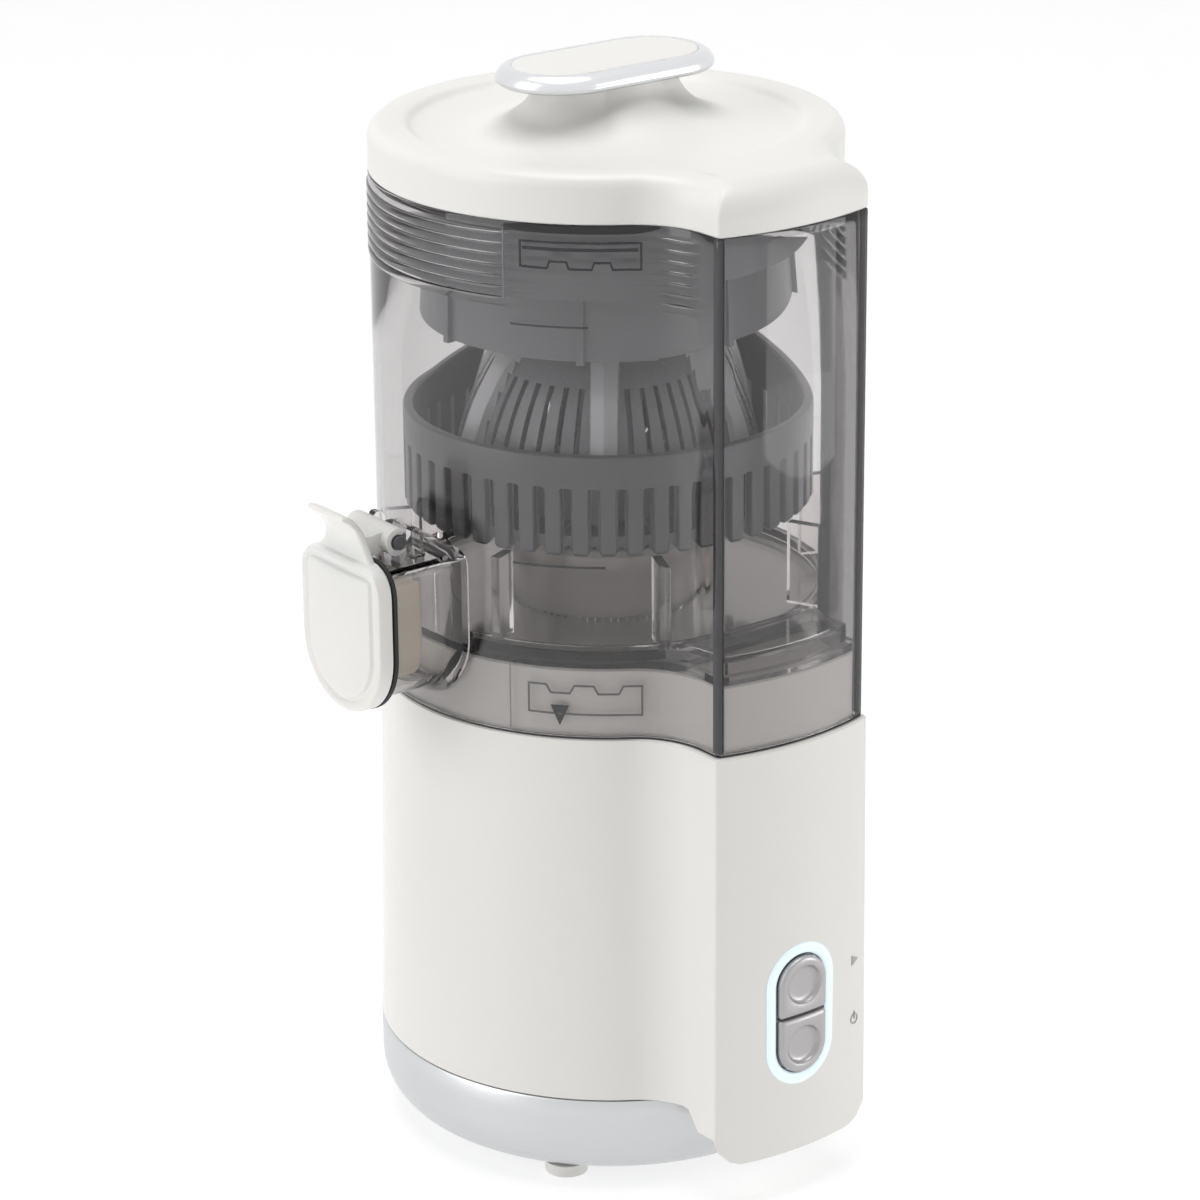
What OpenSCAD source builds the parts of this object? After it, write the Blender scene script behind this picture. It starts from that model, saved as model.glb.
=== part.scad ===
/* [Plan outline] */
// Radius of the round part of the jug and housing, outside
round_r = 69.5; // [66:0.5:74]
// Radius of the curved front face of the control column, from the main axis
column_r = 90; // [87:0.5:94]
// Half width of the control column
column_half_w = 27; // [24:0.5:30]
// Radius of the hollow fillet where the column meets the round part
fillet_r = 24; // [18:1:28]

// How far the housing stands out from the jug at the column
column_proud = 1.2; // [0.5:0.1:2]

/* [Heights] */
// Height of the rubber feet below the bottom of the base
foot_h = 3.5; // [2.5:0.5:5]
// Height of the metallic base tray below the housing seam
base_h = 26.5; // [24:0.5:32]
// Height of the white housing, from the base seam to the jug
housing_h = 115; // [110:1:130]
// Height of the clear jug wall
jug_h = 153; // [150:1:165]
// Height of the lid rim above the jug
lid_h = 14; // [12:0.5:18]
// Length of the control column that hangs below the housing seam
column_drop = 15.5; // [10:0.5:18]

/* [Walls and clearances] */
// Wall of the clear jug
jug_wall = 2.4; // [2:0.1:3]
// Wall of the housing, base and lid
housing_wall = 2.6; // [2.2:0.1:3.2]
// Gap between pieces that lift off each other
lift_gap = 0.5; // [0.35:0.05:0.8]
// Gap between a piece and the one that it slides or turns in
slide_gap = 0.35; // [0.3:0.05:0.5]
// Radial running clearance of shafts and pins
running_gap = 0.06; // [0.03:0.01:0.09]

/* [Jug floor and hub] */
// Height of the jug floor above the bottom edge of the jug
floor_up = 23.8; // [22:0.2:28]
// Thickness of the jug floor
floor_t = 2.5; // [2:0.1:3]
// Rise of the floor inside the column, above the main floor
column_floor_rise = 5.2; // [3:0.2:7]
// Outside radius of the round hub in the jug floor
hub_r = 32; // [28:0.5:36]
// Height of the hub above the jug floor
hub_h = 23; // [20:0.5:26]
// Radius of the collar that the reamer turns on
collar_r = 8; // [7:0.25:9]
// Height of the collar above the hub
collar_h = 5; // [4:0.25:7]
// Height of the black seal round the jug floor
seal_h = 4.3; // [3.5:0.1:5]
// Radial thickness of the black seal
seal_t = 2.4; // [2:0.1:3]

/* [Spout] */
// Half width of the spout tube, outside
spout_half_w = 18; // [16:0.5:20]
// Height of the flat top of the spout above the bottom edge of the jug
spout_top_up = 51.5; // [48:0.5:54]
// Height of the spout's flat sides, from the top down to its round bottom
spout_side_h = 25.5; // [22:0.5:27]
// Distance of the spout mouth from the main axis
spout_reach = 91; // [88:0.5:96]
// Height of the hinge pin above the top of the spout
pin_rise = 5.8; // [5.4:0.1:7]
// Distance of the hinge pin back from the spout mouth
pin_back = 7; // [6.5:0.25:8]
// Radius of the hinge pin
pin_r = 2; // [1.75:0.05:2.25]
// Length of the hinge pin
pin_len = 24; // [20:0.5:28]
// Thickness of the spout flap
flap_t = 5; // [4:0.25:6]
// How far the flap reaches past the spout all round
flap_lip = 2; // [1.5:0.25:3]
// Thickness of the seal behind the flap
flap_seal_t = 1.2; // [1:0.1:1.6]
// Depth of the plug that closes the spout mouth
plug_depth = 9; // [6:0.5:10]

/* [Strainer and reamer] */
// Outside radius of the strainer basket
basket_r = 61; // [58:0.5:62]
// Wall of the basket between its ribs
basket_wall = 1.6; // [1.4:0.1:2]
// Depth of the ribs outside the lower basket wall
basket_rib = 1.6; // [1.2:0.1:2]
// Height of the basket
basket_h = 30; // [28:0.5:34]
// Height of the plain band under the basket rim
basket_band = 9.5; // [8:0.5:12]
// Number of ribs round the basket
basket_ribs = 48; // [36:1:54]
// Height of the ribs that carry the basket, above the jug floor
bearer_h = 28.8; // [27:0.2:30]
// Radius of the reamer at the outside of its fins
reamer_r = 51; // [46:0.5:53]
// Room between the reamer's tip and the roof of the cup
tip_gap = 8.9; // [6:0.1:14]
// How far the fins stand out of the reamer's dome
fin_h = 5; // [3:0.5:6]
// Number of fins
fins = 6; // [4:1:8]
// Width across the flats of the hexagonal drive
hex_w = 8; // [7:0.25:8.5]

/* [Presser] */
// Outside radius of the presser cup
cup_r = 56.6; // [54:0.2:57]
// Depth of the presser cup below its guide ring
cup_drop = 20.5; // [18:0.5:22]
// Wall of the presser cup
cup_wall = 2; // [1.8:0.1:2.4]
// Outside radius of the guide ring inside the lid
guide_r = 66; // [64:0.5:66.5]
// Depth of the guide ring below the lid seam
guide_h = 22.5; // [20:0.5:24]
// Travel of the presser cup up into the lid
press_travel = 20; // [15:1:21]
// Number of guide ribs on the presser cup
cup_ribs = 8; // [4:4:8]

/* [Knob] */
// Length of the lid knob
knob_len = 70; // [60:1:76]
// Width of the lid knob
knob_w = 38; // [34:0.5:42]
// Thickness of the lid knob
knob_t = 5.5; // [4:0.5:7]
// Height of the pedestal under the knob, above the lid rim
pedestal_h = 12.5; // [10:0.5:16]

/* [Controls] */
// Width of the light ring round the buttons
ring_w = 25; // [23:0.5:28]
// Height of the light ring
ring_tall = 45; // [42:0.5:50]
// Width of the glowing band
ring_band = 3.4; // [2.5:0.1:4]
// Height of the middle of the light ring above the housing seam
ring_up = 29.2; // [26:0.2:34]
// Travel of the buttons
button_travel = 1.5; // [1:0.1:2]
// How far the buttons stand out of the face
button_proud = 2.2; // [1.8:0.1:3]

/* [Drive] */
// Gear module
gear_m = 1; // [1:0.25:1]
// Teeth of the large gears
big_teeth = 48; // [48:12:48]
// Teeth of the pinions
small_teeth = 12; // [12:12:12]
// Face width of the gears
gear_t = 6; // [5:0.5:8]
// Radius of the drive shaft
shaft_r = 4; // [3.5:0.25:4.5]
// Radius of the motor
motor_r = 18; // [16:0.5:20]
// Length of the motor
motor_len = 48; // [40:1:52]
// Radius of the motor's shaft
motor_shaft_r = 1.6; // [1.4:0.1:2]
// Radius of the motor's locating boss
motor_boss_r = 5; // [4.5:0.1:6]
// Radius of the circle of the motor's screws
screw_circle_r = 12; // [11:0.5:13]
// Radius of the screws' threads
screw_r = 1.3; // [1:0.1:1.6]
// Radius of the idler's pin
idler_pin_r = 2; // [1.8:0.1:2.5]
// Height of the lower gears above the seam
gear_up = 72; // [66:1:76]
// Radius of the gear plate
gear_plate_r = 58; // [56:0.5:60]
// Thickness of the gear plate
gear_plate_t = 2.5; // [2:0.1:3]
// Radius of the circle of the gear plate's posts
post_circle_r = 52; // [50:0.5:53]

/* [Hidden] */
$fn = 96;

// Heights of the main seams above the table
base_z = foot_h;
seam_z = base_z + base_h;
jug_z = seam_z + housing_h;
lid_z = jug_z + jug_h;
rim_z = lid_z + lid_h;
knob_z = rim_z + pedestal_h;
floor_z = jug_z + floor_up;
hub_z = floor_z + hub_h;
basket_z = floor_z + bearer_h + 0.4;
cup_z = lid_z - guide_h - cup_drop;
column_z = seam_z - column_drop;
blend = 0.02;

// Plan outline of the jug, lid and housing, drawn in by an inset; the column can have its own
module plan(inset = 0, column_inset = undef) {
    col = is_undef(column_inset) ? inset : column_inset;
    r = round_r - inset;
    half_w = column_half_w - col;
    hollow_r = fillet_r + inset;
    cx = half_w + hollow_r - blend;
    cy = sqrt(pow(r + hollow_r - blend, 2) - cx * cx);
    low_y = min(cy, sqrt(pow(column_r - col, 2) - half_w * half_w));
    union() {
        circle(r);
        intersection() {
            circle(column_r - col);
            translate([-half_w, -column_r - 5]) square([2 * half_w, column_r + 5]);
        }
        for (flip = [0, 1]) mirror([flip, 0])
            difference() {
                polygon([[0, 0], [-cx * 0.72, -cy * 0.72], [-cx, -low_y], [-half_w * 0.9, -low_y]]);
                translate([-cx, -cy]) circle(hollow_r);
            }
    }
}

// Rounded slot shape of a given length and width, long way along X
module stadium(len, w) {
    union() {
        square([len - w, w], center = true);
        for (side = [-1, 1]) translate([side * (len - w) / 2, 0]) circle(w / 2);
    }
}

// Section of the spout: flat top, round bottom; x is across, y is height above the jug edge
module spout_section(inset = 0) {
    half_w = spout_half_w - inset;
    mid = spout_top_up - spout_side_h;
    union() {
        translate([-half_w, mid]) square([2 * half_w, spout_side_h - inset]);
        translate([0, mid]) circle(half_w);
    }
}

// Lays a section drawn across and up so that it runs along -X from one distance to another
module along_spout(from, to) {
    translate([-from, 0, jug_z]) rotate([90, 0, -90]) linear_extrude(to - from) children();
}

// Involute gear outline, with its tooth centred on +X
function involute(base_r, r) = sqrt(pow(r / base_r, 2) - 1) - acos(base_r / r) * PI / 180;
function gear_points(teeth, slack) =
    let (pitch_r = gear_m * teeth / 2, base_r = pitch_r * cos(20), tip_r = pitch_r + gear_m * 0.9,
        root_r = pitch_r - gear_m * 1.15, low_r = max(base_r * 1.001, root_r + 0.05),
        half = (PI / (2 * teeth) - slack / pitch_r + involute(base_r, pitch_r)) * 180 / PI,
        steps = [0, 0.35, 0.7, 1])
    [for (i = [0:teeth - 1]) let (mid = i * 360 / teeth) each concat(
        [[root_r, mid - half - 0.4]],
        [for (s = steps) let (r = low_r + s * (tip_r - low_r))
            [r, mid - half + involute(base_r, r) * 180 / PI]],
        [for (s = [1, 0.7, 0.35, 0]) let (r = low_r + s * (tip_r - low_r))
            [r, mid + half - involute(base_r, r) * 180 / PI]],
        [[root_r, mid + half + 0.4]])];
module gear_outline(teeth) {
    polygon([for (p = gear_points(teeth, 0.06)) [p[0] * cos(p[1]), p[0] * sin(p[1])]]);
}

// ---- Lid ----

knob_bottom_z = knob_z;

module knob_ring() {
    color("silver") translate([0, 0, knob_bottom_z]) difference() {
        union() {
            linear_extrude(knob_t - 1.6) stadium(knob_len, knob_w);
            linear_extrude(knob_t) stadium(knob_len - 2.4, knob_w - 2.4);
        }
        translate([0, 0, knob_t - 1.4]) linear_extrude(2) stadium(knob_len - 10, knob_w - 10);
        translate([0, 0, -1]) cylinder(h = knob_t + 2, r = 2.1);
    }
}

module knob_cap() {
    color("white") translate([0, 0, knob_bottom_z + knob_t - 1.4])
        linear_extrude(1.2) stadium(knob_len - 10.4, knob_w - 10.4);
}

lid_deck = 2.8;

module lid_shell() {
    color("white") difference() {
        union() {
            translate([0, 0, lid_z]) linear_extrude(lid_h - 3) plan();
            translate([0, 0, lid_z]) linear_extrude(lid_h - 1) plan(1);
            translate([0, 0, lid_z]) linear_extrude(lid_h) plan(3);
            translate([0, 0, rim_z - 3]) cylinder(h = 3 + cone_rise, r1 = 44, r2 = 28);
        }
        // Shallow dish round the neck
        translate([0, 0, rim_z - 1.6]) difference() {
            cylinder(h = 2, r = round_r - 9);
            translate([0, 0, -1]) cylinder(h = 4, r = 39);
        }
        // Hollow underneath, with room for the presser cup
        translate([0, 0, lid_z - 1]) linear_extrude(lid_h - 3.4 - lid_deck + 1) plan(housing_wall);
        translate([0, 0, lid_z]) cylinder(h = lid_h + 1.5, r = 13.5);
    }
}

cone_rise = 4;

// Neck that carries the knob
module lid_neck() {
    color("white") difference() {
        translate([0, 0, rim_z + cone_rise]) linear_extrude(pedestal_h - cone_rise) stadium(46, 26);
        translate([0, 0, rim_z]) cylinder(h = pedestal_h + 2, r = 2.1);
    }
}

module lid_seal() {
    color("dimgray") translate([0, 0, lid_z - 3.4]) difference() {
        cylinder(h = 2, r = round_r - jug_wall - slide_gap);
        translate([0, 0, -1]) cylinder(h = 4, r = guide_r - 1.2);
    }
}

ledge_t = 2.5;

module guide_ring() {
    color("slategray") difference() {
        translate([0, 0, lid_z - guide_h]) cylinder(h = guide_h + lid_h - 3.4 - lid_deck, r = guide_r);
        // Seat of the lid seal
        translate([0, 0, lid_z - 3.4]) difference() {
            cylinder(h = 2, r = guide_r + 1);
            translate([0, 0, -1]) cylinder(h = 4, r = guide_r - 1.2);
        }
        translate([0, 0, lid_z - guide_h + ledge_t]) cylinder(h = 60, r = guide_r - 2.2);
        translate([0, 0, lid_z - guide_h - 1]) cylinder(h = 60, r = cup_r + slide_gap);
        for (i = [0:cup_ribs - 1]) rotate(i * 360 / cup_ribs + rib_turn)
            translate([cup_r - 2, -1.1 - slide_gap, lid_z - guide_h - 1])
                cube([3.8 + slide_gap, 2.2 + 2 * slide_gap, 20]);
    }
}

rib_turn = 0;
cup_top_z = lid_z - guide_h + ledge_t + 2.3;
cup_roof = 3;

module presser_cup() {
    wall_top_z = cup_top_z - cup_roof;
    color("gray") difference() {
        union() {
            translate([0, 0, cup_z]) cylinder(h = wall_top_z - cup_z, r = cup_r);
            for (i = [0:cup_ribs - 1]) rotate(i * 360 / cup_ribs + rib_turn)
                translate([cup_r - 1, -1.1, cup_z - 0.8]) cube([2.4, 2.2, wall_top_z - cup_z + 0.8]);
        }
        translate([0, 0, cup_z - 2]) cylinder(h = wall_top_z - cup_z + 4, r = cup_r - cup_wall);
        // Flare at the mouth that centres the fruit
        translate([0, 0, cup_z - 0.01]) cylinder(h = 1.2, r1 = cup_r - 0.8, r2 = cup_r - cup_wall);
    }
    // Gripping ribs inside the cup
    color("gray") for (i = [0:11]) rotate(i * 30 + 15)
        translate([cup_r - cup_wall - 2.2, -0.8, cup_z + 2]) cube([2.6, 1.6, wall_top_z - cup_z - 2]);
}

// Roof of the cup, with the lip that rests on the ledge of the guide ring
module presser_plate() {
    color("gray") translate([0, 0, cup_top_z - cup_roof]) difference() {
        union() {
            cylinder(h = cup_roof, r = cup_r);
            translate([0, 0, cup_roof - 2]) cylinder(h = 2, r = cup_r + 4.5);
        }
        // Drain slots
        for (i = [0:5]) rotate(i * 60 + 30) translate([20, -1.5, -2]) cube([26, 3, cup_roof + 4]);
    }
}

spring_r = 10;
spring_wire = 0.9;
spring_turns = 5;
spring_low = cup_top_z + spring_wire + 0.05;
spring_high = lid_z + lid_h - 3.4 - lid_deck - spring_wire + 3;

module press_spring() {
    steps = 20;
    sides = 6;
    rings = spring_turns * steps;
    function ring_at(i) = let (a = 360 * i / steps, z = spring_low + (spring_high - spring_low) * i / rings)
        [for (k = [0:sides - 1]) let (b = 360 * k / sides, r = spring_r + spring_wire * cos(b))
            [r * cos(a), r * sin(a), z + spring_wire * sin(b)]];
    points = [for (i = [0:rings]) each ring_at(i)];
    walls = [for (i = [0:rings - 1], k = [0:sides - 1]) let (n = (k + 1) % sides)
        [i * sides + k, (i + 1) * sides + k, (i + 1) * sides + n, i * sides + n]];
    start = [[for (k = [0:sides - 1]) k]];
    end = [[for (k = [sides - 1:-1:0]) rings * sides + k]];
    color("lightgray") polyhedron(points, concat(start, walls, end));
}

// ---- Jug ----

module jug_shell() {
    color([0.45, 0.42, 0.42, 0.5]) difference() {
        translate([0, 0, jug_z]) linear_extrude(jug_h) plan();
        translate([0, 0, jug_z - 1]) linear_extrude(jug_h + 2) plan(jug_wall);
        // Way through to the spout
        intersection() {
            along_spout(round_r - 14, round_r + 1) spout_section(2);
            translate([-round_r - 5, -30, floor_z]) cube([40, 60, 60]);
        }
    }
}

// Clear tube of the spout, with the ears of the hinge pin
module jug_spout() {
    color([0.45, 0.42, 0.42, 0.5]) difference() {
        union() {
            along_spout(round_r - 6, spout_reach) spout_section();
            for (side = [-1, 1]) translate([pin_x, side * (pin_len / 2 - 2.5), 0]) hinge_ear();
        }
        translate([0, 0, jug_z]) cylinder(h = jug_h, r = round_r);
        along_spout(round_r - 8, spout_reach + 1) spout_section(2);
        translate([pin_x, 0, pin_z]) rotate([90, 0, 0]) cylinder(h = pin_len + 10, r = pin_r, center = true);
    }
}

// Ribs on the jug wall that carry the basket
module jug_bearers() {
    color([0.45, 0.42, 0.42, 0.5]) intersection() {
        translate([0, 0, jug_z]) linear_extrude(jug_h) plan(jug_wall);
        union() {
            for (a = bearer_angles) rotate(a) bearer();
        }
    }
}

module grip_band() {
    color([0.4, 0.38, 0.38, 0.6]) for (i = [0:6]) translate([0, 0, lid_z - 4 - i * 3.1]) grip_rib();
}

module grip_rib() {
    open = 2 * asin((column_half_w + fillet_r) / (round_r + fillet_r)) + 8;
    rotate(open / 2 - 90) rotate_extrude(angle = 360 - open) translate([round_r, 0]) square([0.8, 1.6]);
}

bearer_angles = [-156, -114, -66, -24, 24, 66, 114, 156];

module bearer() {
    translate([-1.5, -round_r - 2, floor_z + seal_h - 0.5]) cube([3, 11.5, bearer_h - seal_h + 0.5]);
}

module hinge_ear() {
    ear_z = jug_z + spout_top_up;
    rotate([90, 0, 0]) translate([0, 0, -1.25]) linear_extrude(2.5) union() {
        translate([0, ear_z + pin_rise]) circle(pin_r + 1.7);
        translate([-pin_r - 1.7, ear_z - 1]) square([2 * pin_r + 3.4, pin_rise + 1]);
    }
}

module jug_floor() {
    inner = jug_wall + seal_t;
    color([0.5, 0.47, 0.46, 0.5]) difference() {
        union() {
            translate([0, 0, floor_z - floor_t]) linear_extrude(floor_t) plan(jug_wall);
            // Upstand inside the seal
            translate([0, 0, floor_z - floor_t]) linear_extrude(floor_t + seal_h - 1) plan(inner);
            // Raised floor of the column
            intersection() {
                translate([0, 0, floor_z - floor_t]) linear_extrude(floor_t + column_floor_rise) plan(inner);
                translate([-40, -column_r, floor_z - floor_t]) cube([80, column_r - round_r + 4, 20]);
            }
        }
        // Juice tray between the hub and the upstand
        translate([0, 0, floor_z]) difference() {
            cylinder(h = seal_h + 3, r = round_r - inner - 1.5);
            translate([0, 0, -1]) cylinder(h = seal_h + 5, r = hub_r);
        }
        // Way out to the spout
        translate([-round_r - 1, -spout_half_w + 2, floor_z])
            cube([round_r - hub_r - 3, 2 * spout_half_w - 4, 10]);
        // Seat of the hub
        translate([0, 0, floor_z - floor_t - 1]) cylinder(h = hub_h, r = hub_r);
        // Hollow under the raised floor
        translate([0, 0, floor_z - floor_t - 1]) intersection() {
            linear_extrude(column_floor_rise + 1) plan(inner + 2.2);
            translate([-40, -column_r, -1]) cube([80, column_r - round_r + 2, 20]);
        }
    }
}

hub_wall = 2.4;
shaft_room = 1.2;

// Raised middle of the floor, over the turret
module jug_hub() {
    color([0.5, 0.47, 0.46, 0.5]) difference() {
        translate([0, 0, floor_z - floor_t]) cylinder(h = floor_t + hub_h, r = hub_r);
        translate([0, 0, floor_z - floor_t - 1])
            cylinder(h = floor_t + hub_h + 1 - hub_wall, r = hub_r - hub_wall);
        translate([0, 0, floor_z]) cylinder(h = hub_h + 1, r = collar_r);
    }
}

// Bearing that the reamer turns on, round the drive shaft
module hub_collar() {
    color([0.5, 0.47, 0.46, 0.5]) translate([0, 0, hub_z - hub_wall]) difference() {
        cylinder(h = hub_wall + collar_h, r = collar_r);
        translate([0, 0, -1]) cylinder(h = hub_wall + collar_h + 2, r = shaft_r + shaft_room);
    }
}

module floor_seal() {
    color("#1c1c1e") difference() {
        translate([0, 0, floor_z]) linear_extrude(seal_h - 1) plan(jug_wall);
        translate([0, 0, floor_z - 1]) linear_extrude(seal_h + 2) plan(jug_wall + seal_t);
        translate([-round_r - 1, -spout_half_w + 2, floor_z + 0.6]) cube([12, 2 * spout_half_w - 4, 10]);
    }
}

// ---- Strainer and reamer ----

rim_top_z = basket_z + basket_h;
basket_in = basket_r - basket_rib - basket_wall;

module strainer_basket() {
    pitch = 360 / basket_ribs;
    groove = 3.3;
    slit = 1.4;
    color("gray") union() {
        // Plain band and rim
        translate([0, 0, rim_top_z - basket_band]) difference() {
            cylinder(h = basket_band, r = basket_r);
            translate([0, 0, -1]) cylinder(h = basket_band + 2, r = basket_in);
        }
        // Ribbed wall, slit between the ribs
        translate([0, 0, basket_z + 3]) linear_extrude(basket_h - basket_band - 3) difference() {
            circle(basket_r);
            circle(basket_in);
            for (i = [0:basket_ribs - 1]) rotate((i + 0.5) * pitch) {
                translate([basket_r - basket_rib, -groove / 2]) square([basket_rib + 2, groove]);
                translate([basket_r - 8, -slit / 2]) square([10, slit]);
            }
        }
        // Rib ends that stand on the bearers
        translate([0, 0, basket_z]) linear_extrude(3) difference() {
            circle(basket_r);
            circle(basket_in);
            for (i = [0:basket_ribs - 1]) rotate((i + 0.5) * pitch)
                translate([basket_r - 8, -groove / 2]) square([12, groove]);
        }
        // Floor with drain slots
        translate([0, 0, basket_z + 2.6]) difference() {
            cylinder(h = 2, r = basket_in + 0.5);
            translate([0, 0, -1]) cylinder(h = 4, r = collar_r + 6);
            for (i = [0:23]) rotate(i * 15) translate([22, -1, -1]) cube([32, 2, 4]);
        }
    }
}

// Half profile of a pointed dome with base radius r and height h
module ogive(r, h) {
    k = (h * h - r * r) / (2 * r);
    intersection() {
        translate([-k, 0]) circle(r + k);
        square([r, h]);
    }
}

reamer_z = basket_z + 2.6 + 2 + 1.2;
tip_rise = 0.6;
reamer_h = cup_top_z - cup_roof - tip_gap - tip_rise - reamer_z;
socket_z = hub_z + slide_gap;
fin_turn = -129;

module reamer() {
    dome_r = reamer_r - fin_h;
    dome_h = reamer_h - fin_h;
    color("lightslategray") difference() {
        union() {
            translate([0, 0, reamer_z]) rotate_extrude() ogive(dome_r, dome_h);
            for (i = [0:fins - 1]) rotate(i * 360 / fins + fin_turn) {
                fin(8, 1.6);
                fin(3.2, 0);
            }
            // Blunt tip
            translate([0, 0, reamer_z + tip_rise]) rotate_extrude() intersection() {
                ogive(reamer_r, reamer_h);
                translate([0, reamer_h - 14]) square([11, 20]);
            }
        }
        translate([0, 0, reamer_z - 0.01]) rotate_extrude() ogive(dome_r - 2.2, dome_h - 3);
        // Seat of the drive socket
        translate([0, 0, reamer_z]) cylinder(h = post_top_z - reamer_z, r = post_r);
        // Juice slots between the fins
        for (i = [0:fins - 1], s = [-1.5:1:1.5]) rotate((i + 0.5) * 360 / fins + fin_turn + s * 9.5)
            translate([22, -0.8, reamer_z + 3]) cube([30, 1.6, 26]);
    }
}

post_r = collar_r + 2.6;
post_top_z = reamer_z + reamer_h - fin_h - 4;

module drive_socket() {
    color("lightslategray") difference() {
        translate([0, 0, socket_z]) cylinder(h = post_top_z - socket_z, r = post_r);
        // Bearing on the collar and hexagonal socket of the drive
        translate([0, 0, socket_z - 1]) cylinder(h = collar_h + 1.3, r = collar_r + running_gap);
        translate([0, 0, socket_z])
            cylinder(h = shaft_top_z - socket_z + 0.6, r = (hex_w / 2 + 0.12) / cos(30), $fn = 6);
    }
}

module fin(w, drop) {
    translate([0, 0, reamer_z]) rotate([90, 0, 0]) translate([0, 0, -w / 2]) linear_extrude(w) difference() {
        ogive(reamer_r - drop, reamer_h - drop);
        translate([-1, -1]) square([9.5, reamer_h + 8]);
        ogive(reamer_r - fin_h - 1.5, reamer_h - fin_h - 1.5);
    }
}

// ---- Spout flap ----

pin_x = -(spout_reach - pin_back);
pin_z = jug_z + spout_top_up + pin_rise;
flap_back = spout_reach + slide_gap + flap_seal_t;

module hinge_pin() {
    color("dimgray") translate([pin_x, 0, pin_z]) rotate([90, 0, 0])
        cylinder(h = pin_len, r = pin_r, center = true);
}

module spout_flap() {
    hook_len = pin_len - 5 - 2.5 - 2 * slide_gap;
    color("white") difference() {
        union() {
            along_spout(flap_back, flap_back + flap_t) spout_section(-flap_lip);
            // Raised panel
            along_spout(flap_back + flap_t - 0.5, flap_back + flap_t + 0.8) spout_section(3);
            // Arm and finger tab
            rotate([90, 0, 0]) translate([0, 0, -hook_len / 2]) linear_extrude(hook_len) union() {
                translate([pin_x, pin_z]) circle(pin_r + 2.2);
                polygon([[pin_x - 1, pin_z + 3.9], [pin_x - 9, pin_z + 3.4], [pin_x - 16, pin_z + 6],
                    [pin_x - 23, pin_z + 12.5], [pin_x - 24.2, pin_z + 11.2], [pin_x - 17.5, pin_z + 3.2],
                    [pin_x - 13, pin_z - 2], [pin_x - 13, pin_z - 8], [pin_x - 9, pin_z - 8],
                    [pin_x - 8.2, pin_z - 3], [pin_x - 4, pin_z - 1.2]]);
            }
        }
        translate([pin_x, 0, pin_z]) rotate([90, 0, 0]) cylinder(h = 40, r = pin_r + running_gap, center = true);
    }
}

module flap_seal() {
    color("#202022") difference() {
        along_spout(flap_back - flap_seal_t, flap_back) spout_section(-flap_lip + 0.6);
        along_spout(flap_back - flap_seal_t - 1, flap_back + 1) spout_section(3.4);
    }
}

module flap_plug() {
    color("cornsilk") translate([0, 0, 0]) difference() {
        along_spout(flap_back - plug_depth, flap_back) plug_section(0);
        along_spout(flap_back - plug_depth - 1, flap_back - 1.5) plug_section(2);
    }
}

module plug_section(inset) {
    intersection() {
        spout_section(3.4 + inset);
        translate([-30, 20 + inset]) square([60, spout_top_up - 26 - 2 * inset]);
    }
}

// ---- Housing and controls ----

turret_r = hub_r - hub_wall - lift_gap - 0.3;
turret_z = hub_z - hub_wall - 1 - lift_gap;
plug_z = floor_z - floor_t - lift_gap;
plug = jug_wall + lift_gap;

module housing_shell() {
    color("white") difference() {
        union() {
            translate([0, 0, seam_z]) linear_extrude(housing_h) plan(0, -column_proud);
            // Slight flare towards the base tray, in steps
            for (i = [0:2]) translate([0, 0, seam_z]) cylinder(h = 25 + i * 28, r = tray_r - 0.4 - i * 0.6);
            // Column skirt in front of the base tray
            translate([0, 0, column_z]) column_skirt();
        }
        translate([0, 0, seam_z - 1]) linear_extrude(housing_h + 1 - housing_wall) plan(housing_wall);
        translate([0, 0, jug_z - housing_wall - 1]) linear_extrude(housing_wall + 2) plan(plug + housing_wall);
        // Hollow of the column skirt
        translate([-column_half_w + housing_wall, -column_r + 6, column_z + 4])
            cube([2 * (column_half_w - housing_wall), 14, 40]);
        // Window of the light ring
        face_hole(ring_w, ring_tall);
    }
}

// Platform that the jug is set on
module jug_platform() {
    color("white") difference() {
        union() {
            translate([0, 0, jug_z]) linear_extrude(plug_z - jug_z) plan(plug);
            intersection() {
                translate([0, 0, jug_z]) linear_extrude(plug_z - jug_z + column_floor_rise)
                    plan(jug_wall + seal_t + 2.2 + lift_gap);
                translate([-40, -column_r, jug_z]) cube([80, column_r - round_r + 1, 60]);
            }
        }
        translate([0, 0, jug_z - 1]) linear_extrude(plug_z - jug_z + 1 - housing_wall)
            plan(plug + housing_wall);
        translate([0, 0, jug_z]) cylinder(h = 60, r = turret_r - housing_wall);
    }
}

// Tower under the hub, which holds the shaft's bush
module shaft_turret() {
    color("white") translate([0, 0, plug_z]) difference() {
        cylinder(h = turret_z - plug_z, r = turret_r);
        translate([0, 0, -1]) cylinder(h = turret_z - plug_z + 1 - housing_wall, r = turret_r - housing_wall);
        cylinder(h = 60, r = bush_r);
    }
}

module column_skirt() {
    bottom_r = 9;
    half_w = column_half_w + column_proud - 0.4;
    intersection() {
        linear_extrude(column_drop + 2) difference() {
            intersection() {
                circle(face_r - 0.4);
                translate([-half_w, -face_r - 1]) square([2 * half_w, face_r]);
            }
            circle(tray_r + 1);
        }
        translate([0, -40, 0]) rotate([90, 0, 0]) linear_extrude(60) union() {
            translate([-half_w, bottom_r]) square([2 * half_w, column_drop + 2]);
            translate([-half_w + bottom_r, 0]) square([2 * (half_w - bottom_r), bottom_r + 2]);
            for (side = [-1, 1]) translate([side * (half_w - bottom_r), bottom_r]) circle(bottom_r);
        }
    }
}

// Upright slot through the column's face
face_r = column_r + column_proud;

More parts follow.
